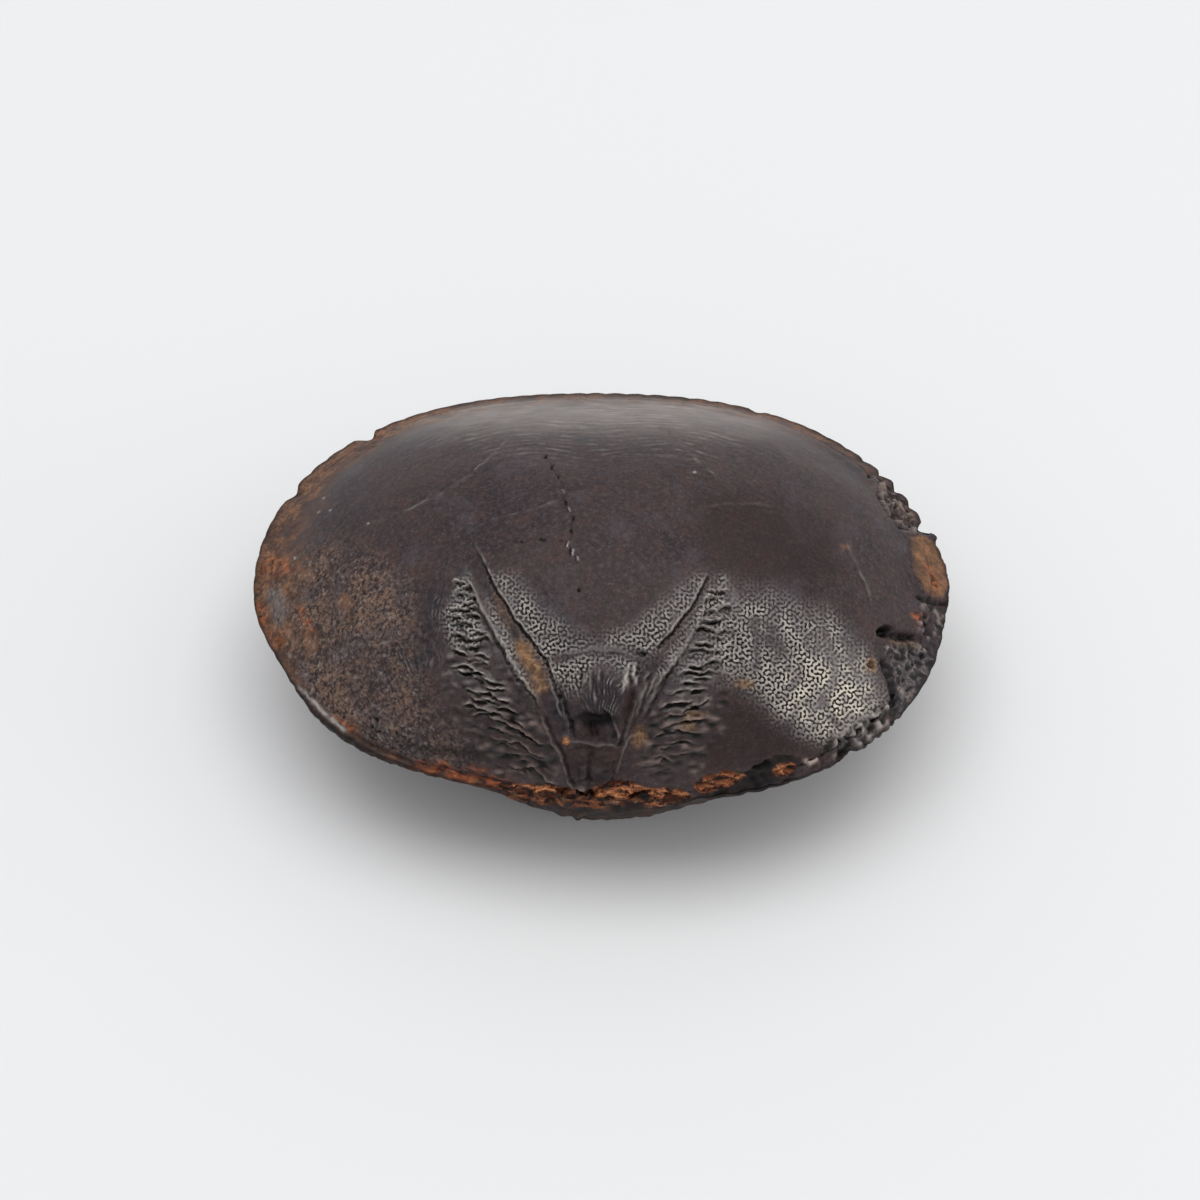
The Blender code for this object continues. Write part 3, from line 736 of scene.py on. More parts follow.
lift += THREAD_HEIGHT * printed * track + SWELL_HEIGHT * printed * crumbs(0.9, 16)
tint["weave"] = printed.copy()
# Glint is a painted highlight: the threads are painted brighter towards the flank's lower right, where they
# catch the right light.
tint["glint"] = printed * unit(0.25 + flank * ramp(across - 0.8 * up, 11.0, 19.5) + 0.25 * crumbs(0.9, 19))
rubbed = flank + 0.8 * (middle_field + left_upper) + 0.7 * left_outer + 0.6 * right_outer
tint["polish"] = unit(rubbed + 0.5 * zone_left + 0.6 * zone_right)
print("labyrinth on", round(100 * float((printed > 0.3).mean())), "% of the points")

# %% [markdown]
# ## The broken hinge
#
# Under the beak the hinge broke off. The break shows rusty matrix full of small holes, drawn out
# along the hinge, with thin walls between them, and to the right a dark bite separates two more
# rusty lumps. Holes and walls like these are a cell pattern: each point looks for the nearest two of
# many scattered centres, and where both are equally near it is on a wall.

# %% Break the hinge
HINGE_BAND = ((-5.6, -10.25), (-3.7, -9.95), (-2.2, -10.1), (-1.0, -10.4), (0.9, -9.8), (2.6, -10.15),
              (4.9, -10.3), (4.4, -11.2), (0.0, -11.5), (-4.6, -11.1))
RUST_LUMP = (
    (4.9, -10.1), (5.5, -9.65), (6.5, -9.45), (7.5, -9.5), (7.8, -9.85), (6.6, -10.25),
    (5.3, -10.5),
)
RUST_EDGE = ((9.05, -9.5), (9.4, -9.0), (10.2, -8.85), (10.45, -9.2), (9.95, -9.65))
BITE_EDGE = ((4.6, -9.95), (5.5, -9.5), (6.6, -9.3), (7.6, -9.35), (8.35, -8.9),
             (9.2, -8.45), (10.0, -8.5), (10.8, -8.55), (11.5, -8.8))


def cells(cover, spacing, depth, seed, wall=0.12):
    """Scatters holes with thin walls between them over a part of the stone."""
    near = np.flatnonzero(cover > 0.02)
    draw = np.random.default_rng(seed)
    low, high = place[near].min(axis=0), place[near].max(axis=0)
    size = np.maximum(high - low, 0.1)
    count = int(np.ceil(np.prod(size[:2] + spacing) / spacing**2 * 1.6)) + 8
    centres = low + draw.uniform(size=(count, 3)) * size
    first, second = np.full(len(near), np.inf), np.full(len(near), np.inf)
    for centre in centres:
        far = np.linalg.norm((place[near] - centre) * (0.5, 1.0, 1.2), axis=1) * draw.uniform(0.75, 1.3)
        second = np.minimum(second, np.maximum(first, far))
        first = np.minimum(first, far)
    opening = ramp(second - first, wall * 0.4, wall * 2.0) * cover[near]
    lift[near] -= depth * opening
    depth_share = (0.55 + 0.6 * crumbs(0.7, seed)[near]).clip(0, 1)
    # The holes get painted shade and the thin walls between them a painted highlight.
    tinge(near, hollow=0.85 * opening**2 * depth_share, glint=cover[near] * (1.0 - opening))


hinge, lump, rusty_edge = patch(HINGE_BAND, 0.2), patch(RUST_LUMP, 0.15), patch(RUST_EDGE, 0.15)
edge_height = np.interp(across, *zip(*BITE_EDGE))
bite = on_dome * ramp(across, 4.7, 5.9) * (1.0 - ramp(across, 9.8, 10.7))
bite *= ramp(edge_height - up, -0.05, 0.12)
bite_grain = 0.5 + 0.5 * np.clip(crumbs(0.45, 23), -1, 1)
lift -= (0.12 + 0.22 * bite_grain) * bite
# Painted shade deepens the crevice along the bite, and a faint painted highlight follows its edge.
crevice = bite * ramp(edge_height - up, 0.0, 0.3) * (1.0 - 0.9 * np.maximum(lump, rusty_edge))
tinge(hollow=(0.6 + 0.4 * bite_grain) * crevice)
stroke(BITE_EDGE, 0.08, 0.05, (0.1, 0.1), pale=0.12)
for cover in (hinge, lump, rusty_edge):
    tinge(orange=cover)
lift += 0.08 * np.maximum(lump, rusty_edge) + 0.12 * hinge * crumbs(0.4, 24, (0.5, 1.0, 1.0))
cells(hinge, 0.85, 0.5, 21, 0.12)
cells(np.maximum(lump, rusty_edge), 0.42, 0.22, 22, 0.09)
blob((8.55, -9.15), (0.6, 0.3), -0.35, hollow=1.0)
stroke(((10.75, -8.55), (10.85, -8.95), (11.1, -9.2), (11.5, -8.8)), 0.1, 0.15, (0.05, 0.05), pale=1.8)
blob((11.1, -8.87), (0.2, 0.15), -0.12, hollow=1.1)
blob((-0.85, -10.2), (0.3, 0.24), 0.25, slate=0.6, pale=0.5)
blob((-0.47, -10.5), (0.22, 0.24), -0.5, hollow=1.0)
stroke(((-1.05, -10.3), (-0.95, -10.75)), 0.1, 0.15, pale=0.8)
blob((-1.62, -7.72), (0.3, 0.25), 0.22, orange=1.0, ochre=0.6)
tint["hollow"] *= 1.0 - 0.9 * np.exp(-(((across + 1.62) / 0.22) ** 2) - ((up + 7.72) / 0.18) ** 2)
blob((2.15, -7.5), (0.5, 0.75), 0.0, 0.2, ochre=0.6)
for x, y, half in ((4.9, -6.45, 0.9), (4.6, -6.9, 0.7), (7.6, -4.8, 0.7)):
    blob((x, y), (half, 0.35), 0.0, 0.2, ochre=0.55)
print("hinge covers", int((hinge > 0.5).sum()), "points")

# %% [markdown]
# ## The crimped rim
#
# The rim keeps the ends of the shell's ribs. The outline above already has them, so here the rim is
# only worn a little, and on the lower left it gets the groove where the two shells' edges part. A
# rusty band follows the rim. Its width and strength are given at a few directions, and the points
# between get the values between, as a painter would widen and narrow one long brush stroke.

# %% Ribs, lips and the rusty band
rim_wear = crumbs(0.5, 31)
worn = 0.2 + bell(angle, (27, 40, 0.8)) + bell(angle, (318, 30, 0.9)) + bell(angle, (215, 40, 0.5))
lift += 0.03 * rim_wear * ramp(share, 0.93, 1.0) * worn
lift -= on_dome * bell(angle, (225, 36, 0.12)) * hump(from_rim - 0.35, 0.12)
corner = by_side(angle, FLANGE_WIDTH)  # the flange's inner corner was filled by a thin skin of stone
lift += on_dome * 0.24 * corner * hump(from_rim - corner, 0.55 * corner) * ramp(from_rim, 0.0, 0.5)

RUST_BAND = (
    (0, 0.9, 0.25), (20, 1.2, 0.5), (40, 2.4, 0.65), (60, 3.0, 0.7), (90, 2.6, 0.6),
    (115, 3.2, 0.7), (135, 3.6, 0.8), (150, 3.6, 0.8), (170, 3.6, 0.85), (186, 3.6, 1.0),
    (197, 1.8, 0.7), (208, 0.7, 0.35), (230, 0.4, 0.4), (240, 0.6, 0.75), (252, 0.6, 0.95),
    (262, 0.4, 0.8), (290, 0.3, 0.4), (320, 0.5, 0.15), (345, 0.8, 0.25), (360, 0.9, 0.25),
)  # degrees, width in mm, strength
turned = np.degrees(angle) % 360.0
degrees, widths, strengths = zip(*RUST_BAND)
band_width = np.interp(turned, degrees, widths) * (1.0 + 0.3 * crumbs(2.6, 32))
band = 1.0 - ramp(from_rim / np.maximum(band_width, 0.2), 0.15, 1.4)
band *= np.interp(turned, degrees, strengths) * ~on_bowl
# The rust band, and a thin line of painted shade about a millimetre in from the lower-left rim.
tinge(rust=band * (0.8 + 0.2 * crumbs(0.9, 33)).clip(0, 1),
      hollow=bell(angle, (240, 20, 0.7)) * on_dome * hump(from_rim - 0.95, 0.12))
# Painted shade along the thin edge and the dome's last rows before it.
edge_shade = on_dome * ramp(share, 0.986, 0.998) + (~on_dome & ~on_bowl)
tinge(hollow=0.75 * edge_shade)
ORANGE_PATCHES = (
    ((-18.9, 2.1), (-18.2, 2.0), (-16.9, 2.0), (-16.0, 1.5), (-16.8, 0.6), (-18.8, 0.3)),
    ((-18.6, 0.0), (-18.2, -0.3), (-17.7, -1.7), (-16.6, -2.6), (-16.5, -3.5), (-17.6, -3.2),
     (-18.4, -1.6)),
    ((-16.4, -0.5), (-15.4, -1.0), (-14.8, -2.2), (-16.0, -2.6)),
    ((14.2, 7.5), (14.6, 7.3), (15.1, 6.8), (14.8, 6.7)),
)
for corners in ORANGE_PATCHES:
    tinge(orange=0.48 * patch(corners, 0.4))
grey_patch = patch(((-18.0, -0.1), (-17.0, 0.1), (-16.6, -1.0), (-16.9, -2.0), (-17.5, -1.6)), 0.3)
for name in ("rust", "orange"):
    tint[name] *= 1.0 - 0.9 * grey_patch
tinge(slate=0.35 * grey_patch, pale=0.18 * grey_patch)
stroke(((-18.65, -0.3), (-18.3, -1.5), (-17.7, -2.7)), 0.14, 0.04, (0.2, 0.3), orange=1.0)
stroke(((-14.2, -6.5), (-13.4, -7.05), (-12.5, -7.6)), 0.22, 0.06, (0.2, 0.3), orange=1.0)
rusty_lip = bell(angle, (241, 22, 1.3)) * ~on_bowl * (1.0 - ramp(from_rim, 0.35, 1.0))
rusty_lip *= 0.75 + 0.5 * crumbs(0.5, 34, (0.5, 1.0, 1.0))
tinge(orange=np.clip(0.8 * rusty_lip, 0, 0.7))
stroke(((-12.2, -8.15), (-10.8, -8.7), (-9.4, -9.15)), 0.06, 0.05, (0.2, 0.3), pale=0.5)

# Painted shade under the lower-left lip: the rim there is painted darker, with patches of deeper painted
# shade.
low_left = bell(angle, (220, 32, 1.4)) * ~on_bowl * (1.0 - ramp(from_rim, 0.2, 0.7))
tinge(umber=unit(low_left))
lift += 0.06 * low_left * crumbs(0.35, 35)
tinge(hollow=unit(low_left) * np.clip(0.2 - 0.7 * crumbs(0.5, 36), 0, 0.7))
EDGE_LIGHT = ((-16.3, -4.75), (-15.3, -5.7), (-14.4, -6.5), (-13.3, -7.35))
near, off, _ = along(EDGE_LIGHT, 0.4)
tint["umber"][near] *= 1.0 - hump(off, 0.18)
# A painted highlight along the lower-left edge.
stroke(EDGE_LIGHT, 0.09, 0.1, (0.4, 0.03), pale=1.9)
print("rusty share of the dome:", round(float((tint["rust"][on_dome] > 0.4).mean()), 3))

# %% [markdown]
# ## Damage on the right
#
# On the right the rim was knocked. From the top down there are a pitted patch, a rusty plate, a
# snapped edge, a black hole, a creased chunk that came loose behind a groove, and a knobbly corner.
# Each is a patch that lets its own noise through: two sizes of noise for pits and knobs, and noise
# folded at zero for creases, because a fold leaves sharp crests as broken stone does.

# %% Roughen the damaged places
PLATE_FACE = ((17.0, 2.9), (18.3, 3.0), (18.9, 2.35), (19.2, 1.0),
              (19.0, -0.45), (17.6, -0.4), (17.25, 0.7), (17.05, 1.8))
CHUNK = ((15.1, -2.9), (16.4, -2.7), (18.3, -3.2), (18.0, -5.0), (16.4, -6.8), (15.4, -6.6), (15.5, -5.0))
CHUNK_GROOVE = ((15.0, -3.3), (15.2, -4.1), (15.45, -5.1), (15.55, -6.6))
PITTED = ((15.5, 6.4), (16.4, 6.3), (17.5, 4.6), (17.7, 3.2), (16.9, 3.0), (16.1, 4.0), (15.4, 5.3))
SNAPPED = ((17.3, -0.8), (19.1, -0.8), (18.9, -2.6), (18.3, -3.2), (17.3, -2.4), (16.9, -1.8))
LUMPY_RIM = ((15.6, -6.2), (14.9, -7.3), (13.5, -8.2), (11.6, -8.9),
             (10.8, -9.5), (12.8, -9.5), (15.0, -8.2), (16.4, -6.8))

plate, chunk, pitted, lumpy, snapped = (
    patch(corners, 0.15) for corners in (PLATE_FACE, CHUNK, PITTED, LUMPY_RIM, SNAPPED))
coarse, fine = crumbs(0.55, 41), crumbs(0.28, 42)
inland = ramp(from_rim, 0.0, 0.8)
folded = crumbs(0.36, 43, (0.4, 1.0, 1.0)) + 0.25 * crumbs(0.17, 45)
creased = 1.0 - np.abs(folded)  # sharp where it is near 1
lift += 0.1 * plate + chunk * (0.06 + (0.17 * (creased - 0.7) + 0.06 * coarse) * inland)
lift -= pitted * (0.12 - 0.22 * coarse - 0.16 * fine) * np.clip(inland, 0.35, 1.0)
lift += snapped * (0.16 * coarse + 0.1 * fine) * np.clip(inland, 0.35, 1.0)
lift += lumpy * (0.1 * coarse + 0.08 * fine)
tint["rust"] = np.maximum(tint["rust"] * (1.0 - chunk) * (1.0 - 0.8 * pitted), 0.8 * plate)
tinge(ochre=0.16 * plate)
PLATE_STREAKS = (
    (((17.55, 2.6), (17.65, 1.6), (17.95, 0.5)), 0.24, 0.9),
    (((18.0, 1.0), (18.25, 0.1), (18.35, -0.3)), 0.26, 1.1),
    (((18.05, 2.3), (18.15, 1.3), (18.2, 0.8)), 0.12, 0.6),
    (((18.45, 1.9), (18.55, 0.9)), 0.1, 0.4),
)  # line, width, how orange
for line, width, amount in PLATE_STREAKS:
    stroke(line, width, 0.03, (0.2, 0.2), orange=amount)
# Painted highlight on the crests of the chunk's creases and on the knobs of the pitted and snapped patches,
# and painted shade in their folds and pits.
painted_light = 0.7 * chunk * ramp(creased, 0.88, 1.0) * unit(0.5 + coarse)
painted_light += 0.35 * pitted * unit(2.0 * fine + coarse - 0.2) + 0.4 * snapped * unit(2.0 * fine - 0.2)
painted_dark = pitted * unit(-2.2 * coarse - fine) + 0.8 * snapped * unit(-2.0 * fine - coarse)
painted_dark += 0.9 * chunk * ramp(-creased, -0.85, -0.55) + 0.6 * lumpy * unit(-coarse - fine)
tinge(pale=painted_light, hollow=np.clip(painted_dark, 0, 0.85), grain=np.maximum(0.5 * pitted, 0.4 * lumpy),
      slate=0.45 * chunk, umber=0.5 * chunk, polish=0.5 * chunk)

BUMPY = ((12.4, -7.5), (13.5, -6.5), (15.4, -5.8), (16.0, -6.6),
         (15.2, -7.7), (13.6, -8.5), (11.6, -9.0), (11.5, -8.4))
bumpy, knobs = patch(BUMPY, 0.3), crumbs(0.38, 44)
tint["weave"] *= 1.0 - 0.8 * bumpy
lift += bumpy * 0.22 * knobs
# Painted shade in the low knobs and a painted highlight on the high ones.
tinge(hollow=bumpy * unit(-2.5 * knobs), pale=0.7 * bumpy * unit(2.5 * knobs - 0.5))
print("roughened on the right:", int((chunk + pitted + snapped + bumpy > 0.5).sum()), "points")

# %% Cut the holes and the cracks
stroke(((15.3, -2.75), (16.3, -2.85), (17.2, -3.1)), 0.22, 0.05, (0.2, 0.3), ochre=0.5)
# Painted shade darkens the groove, the holes, the cracks and the pits below.
stroke(CHUNK_GROOVE, 0.12, -0.35, (0.15, 0.15), hollow=1.0)
HOLE = ((14.85, -2.3), (15.4, -2.1), (16.0, -2.45), (16.8, -2.45), (17.4, -2.7))
stroke(HOLE, 0.2, -0.45, (0.1, 0.3), hollow=1.0)
blob((15.35, -2.1), (0.52, 0.34), -0.55, 0.5, hollow=1.2)
stroke(((17.15, -0.2), (17.45, -0.5), (18.05, -0.65), (19.1, -0.6)), 0.12, -0.35, (0.05, 0.02), hollow=1.4)
stroke(((16.85, 3.45), (17.75, 3.3), (18.4, 3.3)), 0.12, -0.25, (0.2, 0.1), hollow=0.8)
blob((14.4, -3.9), (0.42, 0.5), 0.08, ochre=0.8)
blob((14.4, -3.9), (0.2, 0.26), -0.25, hollow=0.8)
for x, y in ((16.15, -2.95), (17.45, -3.25), (15.3, -3.0)):
    blob((x, y), (0.14, 0.1), 0.05, pale=0.9)
blob((15.05, 6.3), (0.17, 0.14), -0.22, hollow=1.0)
stroke(((16.85, -0.85), (17.05, -1.5), (17.4, -2.05)), 0.32, 0.03, (0.2, 0.3), orange=0.95)
stroke(((16.9, -1.9), (17.5, -1.8)), 0.15, 0.0, (0.2, 0.3), orange=0.5)
stroke(((16.3, -1.0), (17.2, -1.2), (18.2, -1.1)), 0.5, 0.0, (0.3, 0.3), rust=0.35)
for where in ((16.4, 4.6), (16.9, 4.0), (16.2, 5.3), (17.2, 3.6), (16.6, -3.3), (17.3, -3.6)):
    blob(where, (0.16, 0.13), -0.22, hollow=0.95)
print("deepest cut now:", lift.min().round(2), "mm")

# %% [markdown]
# ## Zigzag, canals and growth rings
#
# A jagged row of tiny holes runs down the dome, some of them filled with white crystals. Faint
# raised lines spread from the middle to the sides: they are casts of the canals that fed the
# animal's mantle. Towards the front edge faint rings show how the shell grew. Even rings would look
# turned on a lathe, so noise bends them, scuffs them and fades them out.

# %% Draw the zigzag and the canals
ZIGZAG = (
    (-2.78, 7.22), (-2.49, 6.64), (-2.12, 6.08), (-1.84, 5.31), (-1.74, 4.61), (-1.47, 4.34),
    (-1.3, 3.8), (-1.4, 3.17), (-1.56, 2.48), (-1.3, 2.06), (-1.03, 1.7),
)
ZIGZAG_BITS = "dddpdpddppp"  # d is a dark hole and p a white crystal, from the top down
CANALS = (
    (((-4.0, 9.2), (-4.6, 8.6), (-5.9, 7.1), (-7.7, 5.5), (-9.9, 4.5), (-12.6, 3.5)), 0.05, 0.5),
    (((-1.75, 4.9), (-3.15, 4.35), (-5.25, 3.9), (-7.65, 2.8)), 0.03, 0.3),
    (((3.7, 9.1), (4.1, 8.6), (4.85, 7.4), (6.4, 6.0), (7.5, 5.1)), 0.05, 0.4),
    (((5.2, 4.35), (7.0, 4.7), (8.5, 4.65), (10.2, 4.4)), 0.03, 0.3),
    (((13.3, 2.7), (14.1, 0.8), (14.7, -0.9)), 0.045, 0.9),
)
# Each hole is darkened with painted shade, and each white crystal gets painted shade along its left side.
for (x, y), bit in zip(ZIGZAG, ZIGZAG_BITS):
    size, slant = 0.06 * chance.uniform(0.7, 1.4), 0.12 * chance.uniform(-1, 1)
    dash = ((x - slant, y + 2.2 * size), (x, y), (x + 0.5 * slant, y - 2.2 * size))
    if bit == "d":
        stroke(dash, size, -0.16, (0.15, 0.15), hollow=1.0)
    else:
        stroke(dash, 0.6 * size, 0.05, (0.15, 0.15), pale=1.2)
        stroke([(x - 1.5 * size, y) for x, y in dash], 0.7 * size, -0.1, (0.15, 0.15), hollow=0.9)
stroke(ZIGZAG, 0.045, -0.05, (0.02, 0.02), hollow=0.5)
stroke(((-1.03, 1.7), (-0.95, 0.6), (-0.6, -0.4), (-0.6, -1.4)), 0.05, -0.03, hollow=0.25)
for x, y, half in ((-4.3, 2.6, 0.17), (-3.95, 2.62, 0.08), (-2.85, 2.7, 0.14), (-1.95, 2.6, 0.11)):
    stroke(((x - half, y), (x, y + 0.03), (x + half, y)), 0.05, -0.1, (0.2, 0.2), hollow=1.0)
stroke(((-4.4, 2.6), (-3.0, 2.7), (-1.6, 2.55)), 0.035, -0.02, (0.1, 0.1), hollow=0.3)
for line, height, light in CANALS:
    near, off, way = along(line, 0.4)
    broken = unit(0.35 + 1.2 * crumbs(0.5, 52)[near]) * fading(way, 0.1, 0.3)
    crest, foot = hump(off, 0.06) * broken, hump(off + 0.14, 0.08) * broken
    lift[near] += height * (0.6 * crest - 0.5 * foot)
    # Painted highlight on each canal's crest and painted shade at its foot.
    tinge(near, pale=0.55 * light * crest, hollow=0.9 * light * foot)
for x, y in ((-15.12, 5.12), (-14.6, 4.42), (-15.3, 4.35), (-16.5, 1.8), (5.17, 6.38), (-12.3, 3.65)):
    blob((x, y), (0.1, 0.09), 0.03, pale=0.9)
# Small pits darkened with painted shade.
for x, y in ((-11.8, -7.1), (-11.45, -7.3), (-11.6, -6.75), (-0.98, 0.1), (-12.2, -7.4)):
    blob((x, y), (0.13, 0.11), -0.15, hollow=1.0)
blob((13.2, 2.4), (0.5, 0.25), 0.0, rust=0.6)
blob((13.0, 2.1), (0.2, 0.3), 0.0, rust=0.5)
print(len(ZIGZAG), "bits in the zigzag and", len(CANALS), "canals")

# %% Draw the growth rings
RING_PITCHES = (0.62, 0.27)
slow = waves(6.0, 8, 51)
shifted = from_rim + 0.3 * crumbs(2.0, 54) + 0.08 * crumbs(0.7, 55)
rings = np.sin(2 * np.pi * shifted / RING_PITCHES[0] + 1.5 * np.sin(from_rim * 1.3) + 1.1 * slow)
rings += 0.5 * np.sin(2 * np.pi * shifted / RING_PITCHES[1] + 2.0 * slow)
rings *= np.clip(0.5 + 0.7 * crumbs(1.4, 56), 0.0, 1.2)
front = on_dome * ramp(up, 6.3, 7.6) * ramp(from_rim, 0.2, 0.8)
front *= 1.0 - 0.85 * ramp(np.abs(across + 0.5), 6.0, 12.0)
# Painted sheen: a pale band painted high on the front slope, where the stone reflects the bright floor
# behind it.
painted_sheen = on_dome * ramp(up, 7.6, 10.4) * ramp(from_rim, 0.3, 1.6)
painted_sheen *= 1.0 - ramp(np.abs(across - 0.5), 7.0, 16.0)
scuffed = np.clip(0.45 + 1.1 * crumbs(0.28, 57, (0.5, 1.0, 1.0)), 0, 1.3)
lift += front * (0.012 * rings * scuffed + 0.01 * fine)
# Painted highlight on the rings' crests and painted shade in their troughs, plus the painted sheen on the
# front slope.
tinge(hollow=0.35 * front * unit(-rings - 0.1) * scuffed,
      pale=0.32 * front * unit(rings) * scuffed + 0.42 * painted_sheen * (1.0 + 0.3 * crumbs(1.2, 53)))
print("rings are at most", round(0.012 * float(np.abs(rings * scuffed * front).max()), 3), "mm high")

# %% [markdown]
# ## The grainy left flank, and the hidden side
#
# The left flank lost its polish and shows the grain of the mud. The underside can't be seen as the
# fossil lies, but someone may turn it over, so it gets growth rings, grain and a few pits too.

# %% Roughen the left flank
LEFT_FLANK = (
    (-17.6, 1.6), (-14.0, 2.6), (-10.8, 1.2), (-9.3, -1.0), (-9.4, -4.5), (-8.0, -7.5),
    (-6.5, -9.6), (-9.0, -9.9), (-13.5, -8.0), (-16.8, -5.0), (-18.7, -1.0),
)
left_flank = patch(LEFT_FLANK, 1.4)
bits, dust = crumbs(0.24, 61), crumbs(0.13, 62)
lift += left_flank * (0.024 * bits + 0.02 * dust + 0.025 * crumbs(0.8, 64))
# Painted highlight on the grain's high bits and painted shade in its low ones.
tinge(grain=left_flank * np.clip(0.75 + 0.5 * crumbs(2.5, 66), 0.3, 1.0),
      pale=0.4 * left_flank * unit(bits + dust - 0.5), hollow=0.6 * left_flank * unit(-bits - dust - 0.4),
      rust=0.55 * left_flank * ramp(crumbs(1.8, 65) - 0.05 * (across + 13.0), 0.1, 0.8))
lift += on_dome * (1.0 - left_flank) * (1.0 - flank) * 0.004 * dust

print("grain on", int((left_flank > 0.5).sum()), "points")

# %% Finish the underside
under_rings = np.sin(2 * np.pi * from_rim / 0.9 + 1.2 * slow) + 0.4 * np.sin(2 * np.pi * from_rim / 0.37)
pits = 0.016 * coarse * ramp(fine, 0.2, 1.2) + 0.008 * dust
lift += on_bowl * ramp(share, 0.12, 0.3) * (0.014 * under_rings + pits)
# Painted shade in the troughs of the underside's rings.
tinge(grain=0.55 * on_bowl, rust=0.45 * on_bowl * ramp(waves(5.0, 10, 63), 0.5, 1.6),
      hollow=0.3 * on_bowl * unit(-under_rings - 0.5))
print("underside finished on", int(on_bowl.sum()), "points")

# %% [markdown]
# ## The crust at the beak, and two dark places
#
# Below the hinge the beak's side keeps a dark crumbly crust, which the same noise tints and raises.
# The stone is also darker low on the right and on the dome's right shoulder, and that is only
# colour, so nothing is raised there.

# %% Lay the crust
LOW_RIGHT = ((5.6, -5.0), (8.2, -5.9), (9.6, -7.2), (11.4, -8.0),
             (13.3, -8.4), (12.5, -9.3), (6.0, -9.6), (4.6, -9.2))
RIGHT_SHOULDER = ((5.5, 5.5), (12.5, 4.5), (13.6, 0.6), (9.0, 0.2), (6.8, 0.8), (4.8, 2.5))
CRUST_HEIGHT = 0.1

beak_side = unit(bell(angle, (268, 45, 1.6))) * ~on_dome * ramp(share, 0.55, 0.9)
crust = crumbs(0.45, 72, (0.6, 1.0, 1.0))
lift += CRUST_HEIGHT * beak_side * crust
tint["grain"] *= 1.0 - 0.8 * beak_side
# Painted shade in the crust's low spots.
tinge(umber=beak_side, hollow=beak_side * np.clip(0.45 - 0.8 * crust, 0, 0.85),
      rust=beak_side * np.clip(0.25 + 0.6 * crumbs(0.8, 73), 0, 0.7))
blob((-1.05, -11.75), (0.32, 0.3), 0.2, 0.1, umber=1.0)
tinge(umber=np.maximum(0.75 * patch(LOW_RIGHT, 0.8), 0.7 * patch(RIGHT_SHOULDER, 1.2)))
print("crust on", int((beak_side > 0.5).sum()), "points")

# %% [markdown]
# ## From numbers to stone
#
# Up to here every stroke only changed numbers. Now each point moves along its own outward direction
# by its lift, and the whole fossil is set on its resting flat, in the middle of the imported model's
# box. A Displace modifier would do the same from a texture, but it can't read a drawing like this.

# %% Raise the relief and store the tints
place += outward * lift[:, None]
place *= MM
middle = (place.max(axis=0) + place.min(axis=0)) / 2
box_middle = (np.array(box_low) + np.array(box_high)) / 2
seat = np.array([box_middle[0] - middle[0], box_middle[1] - middle[1], -RESTING_CUT * MM])
place += seat
place[:, 2] = np.maximum(place[:, 2], 0.0)
fossil.data.vertices.foreach_set("co", place.ravel())
fossil.data.update()
for name, values in tint.items():
    store(name, values)
print("moved onto the packed fossil by", (seat / MM).round(2), "mm")

# %% [markdown]
# ## Fewer faces where nothing happens
#
# The mesh has over a million triangles, most of them on smooth stone. The Decimate modifier in
# collapse mode merges points where the surface is flat and keeps them where it is cut up, and the
# tints travel with the points.

# %% Thin the mesh
TRIANGLES = 196000
bpy.ops.object.select_all(action="DESELECT")
fossil.select_set(True)
bpy.context.view_layer.objects.active = fossil
triangles = len(fossil.data.loops) - 2 * len(fossil.data.polygons)
thin = fossil.modifiers.new("fewer faces", "DECIMATE")
thin.ratio = min(1.0, TRIANGLES / triangles)
thin.use_collapse_triangulate = True
bpy.ops.object.modifier_apply(modifier=thin.name)
bpy.ops.object.shade_smooth()
print(triangles, "triangles before,", len(fossil.data.polygons), "faces after")

# %% [markdown]
# ## Shader sums in plain Python
#
# The finish mixes many masks. Written as nodes one by one that is hard to read, so a small class
# stands for a socket: adding two of them adds a Math node. Everything else comes from one method
# that takes a node's type, its settings and what goes into its sockets.

# %% A class for sockets


class Flow:
    """The value that leaves a node's socket."""

    def __init__(self, finish, socket):
        self.finish, self.socket = finish, socket

    def maths(self, operation, *numbers):
        sockets = dict(enumerate(numbers or [self]))
        return self.finish.node("ShaderNodeMath", {"operation": operation}, sockets)

    def __add__(self, other):
        return self.maths("ADD", self, other)

    __radd__ = __add__

    def __sub__(self, other):
        return self.maths("SUBTRACT", self, other)

    def __rsub__(self, other):
        return self.maths("SUBTRACT", other, self)

    def __mul__(self, other):
        return self.maths("MULTIPLY", self, other)

    __rmul__ = __mul__

    def __pow__(self, other):
        return self.maths("POWER", self, other)


print("sockets can now be added, subtracted, multiplied and raised to a power")

# %% A class for a material


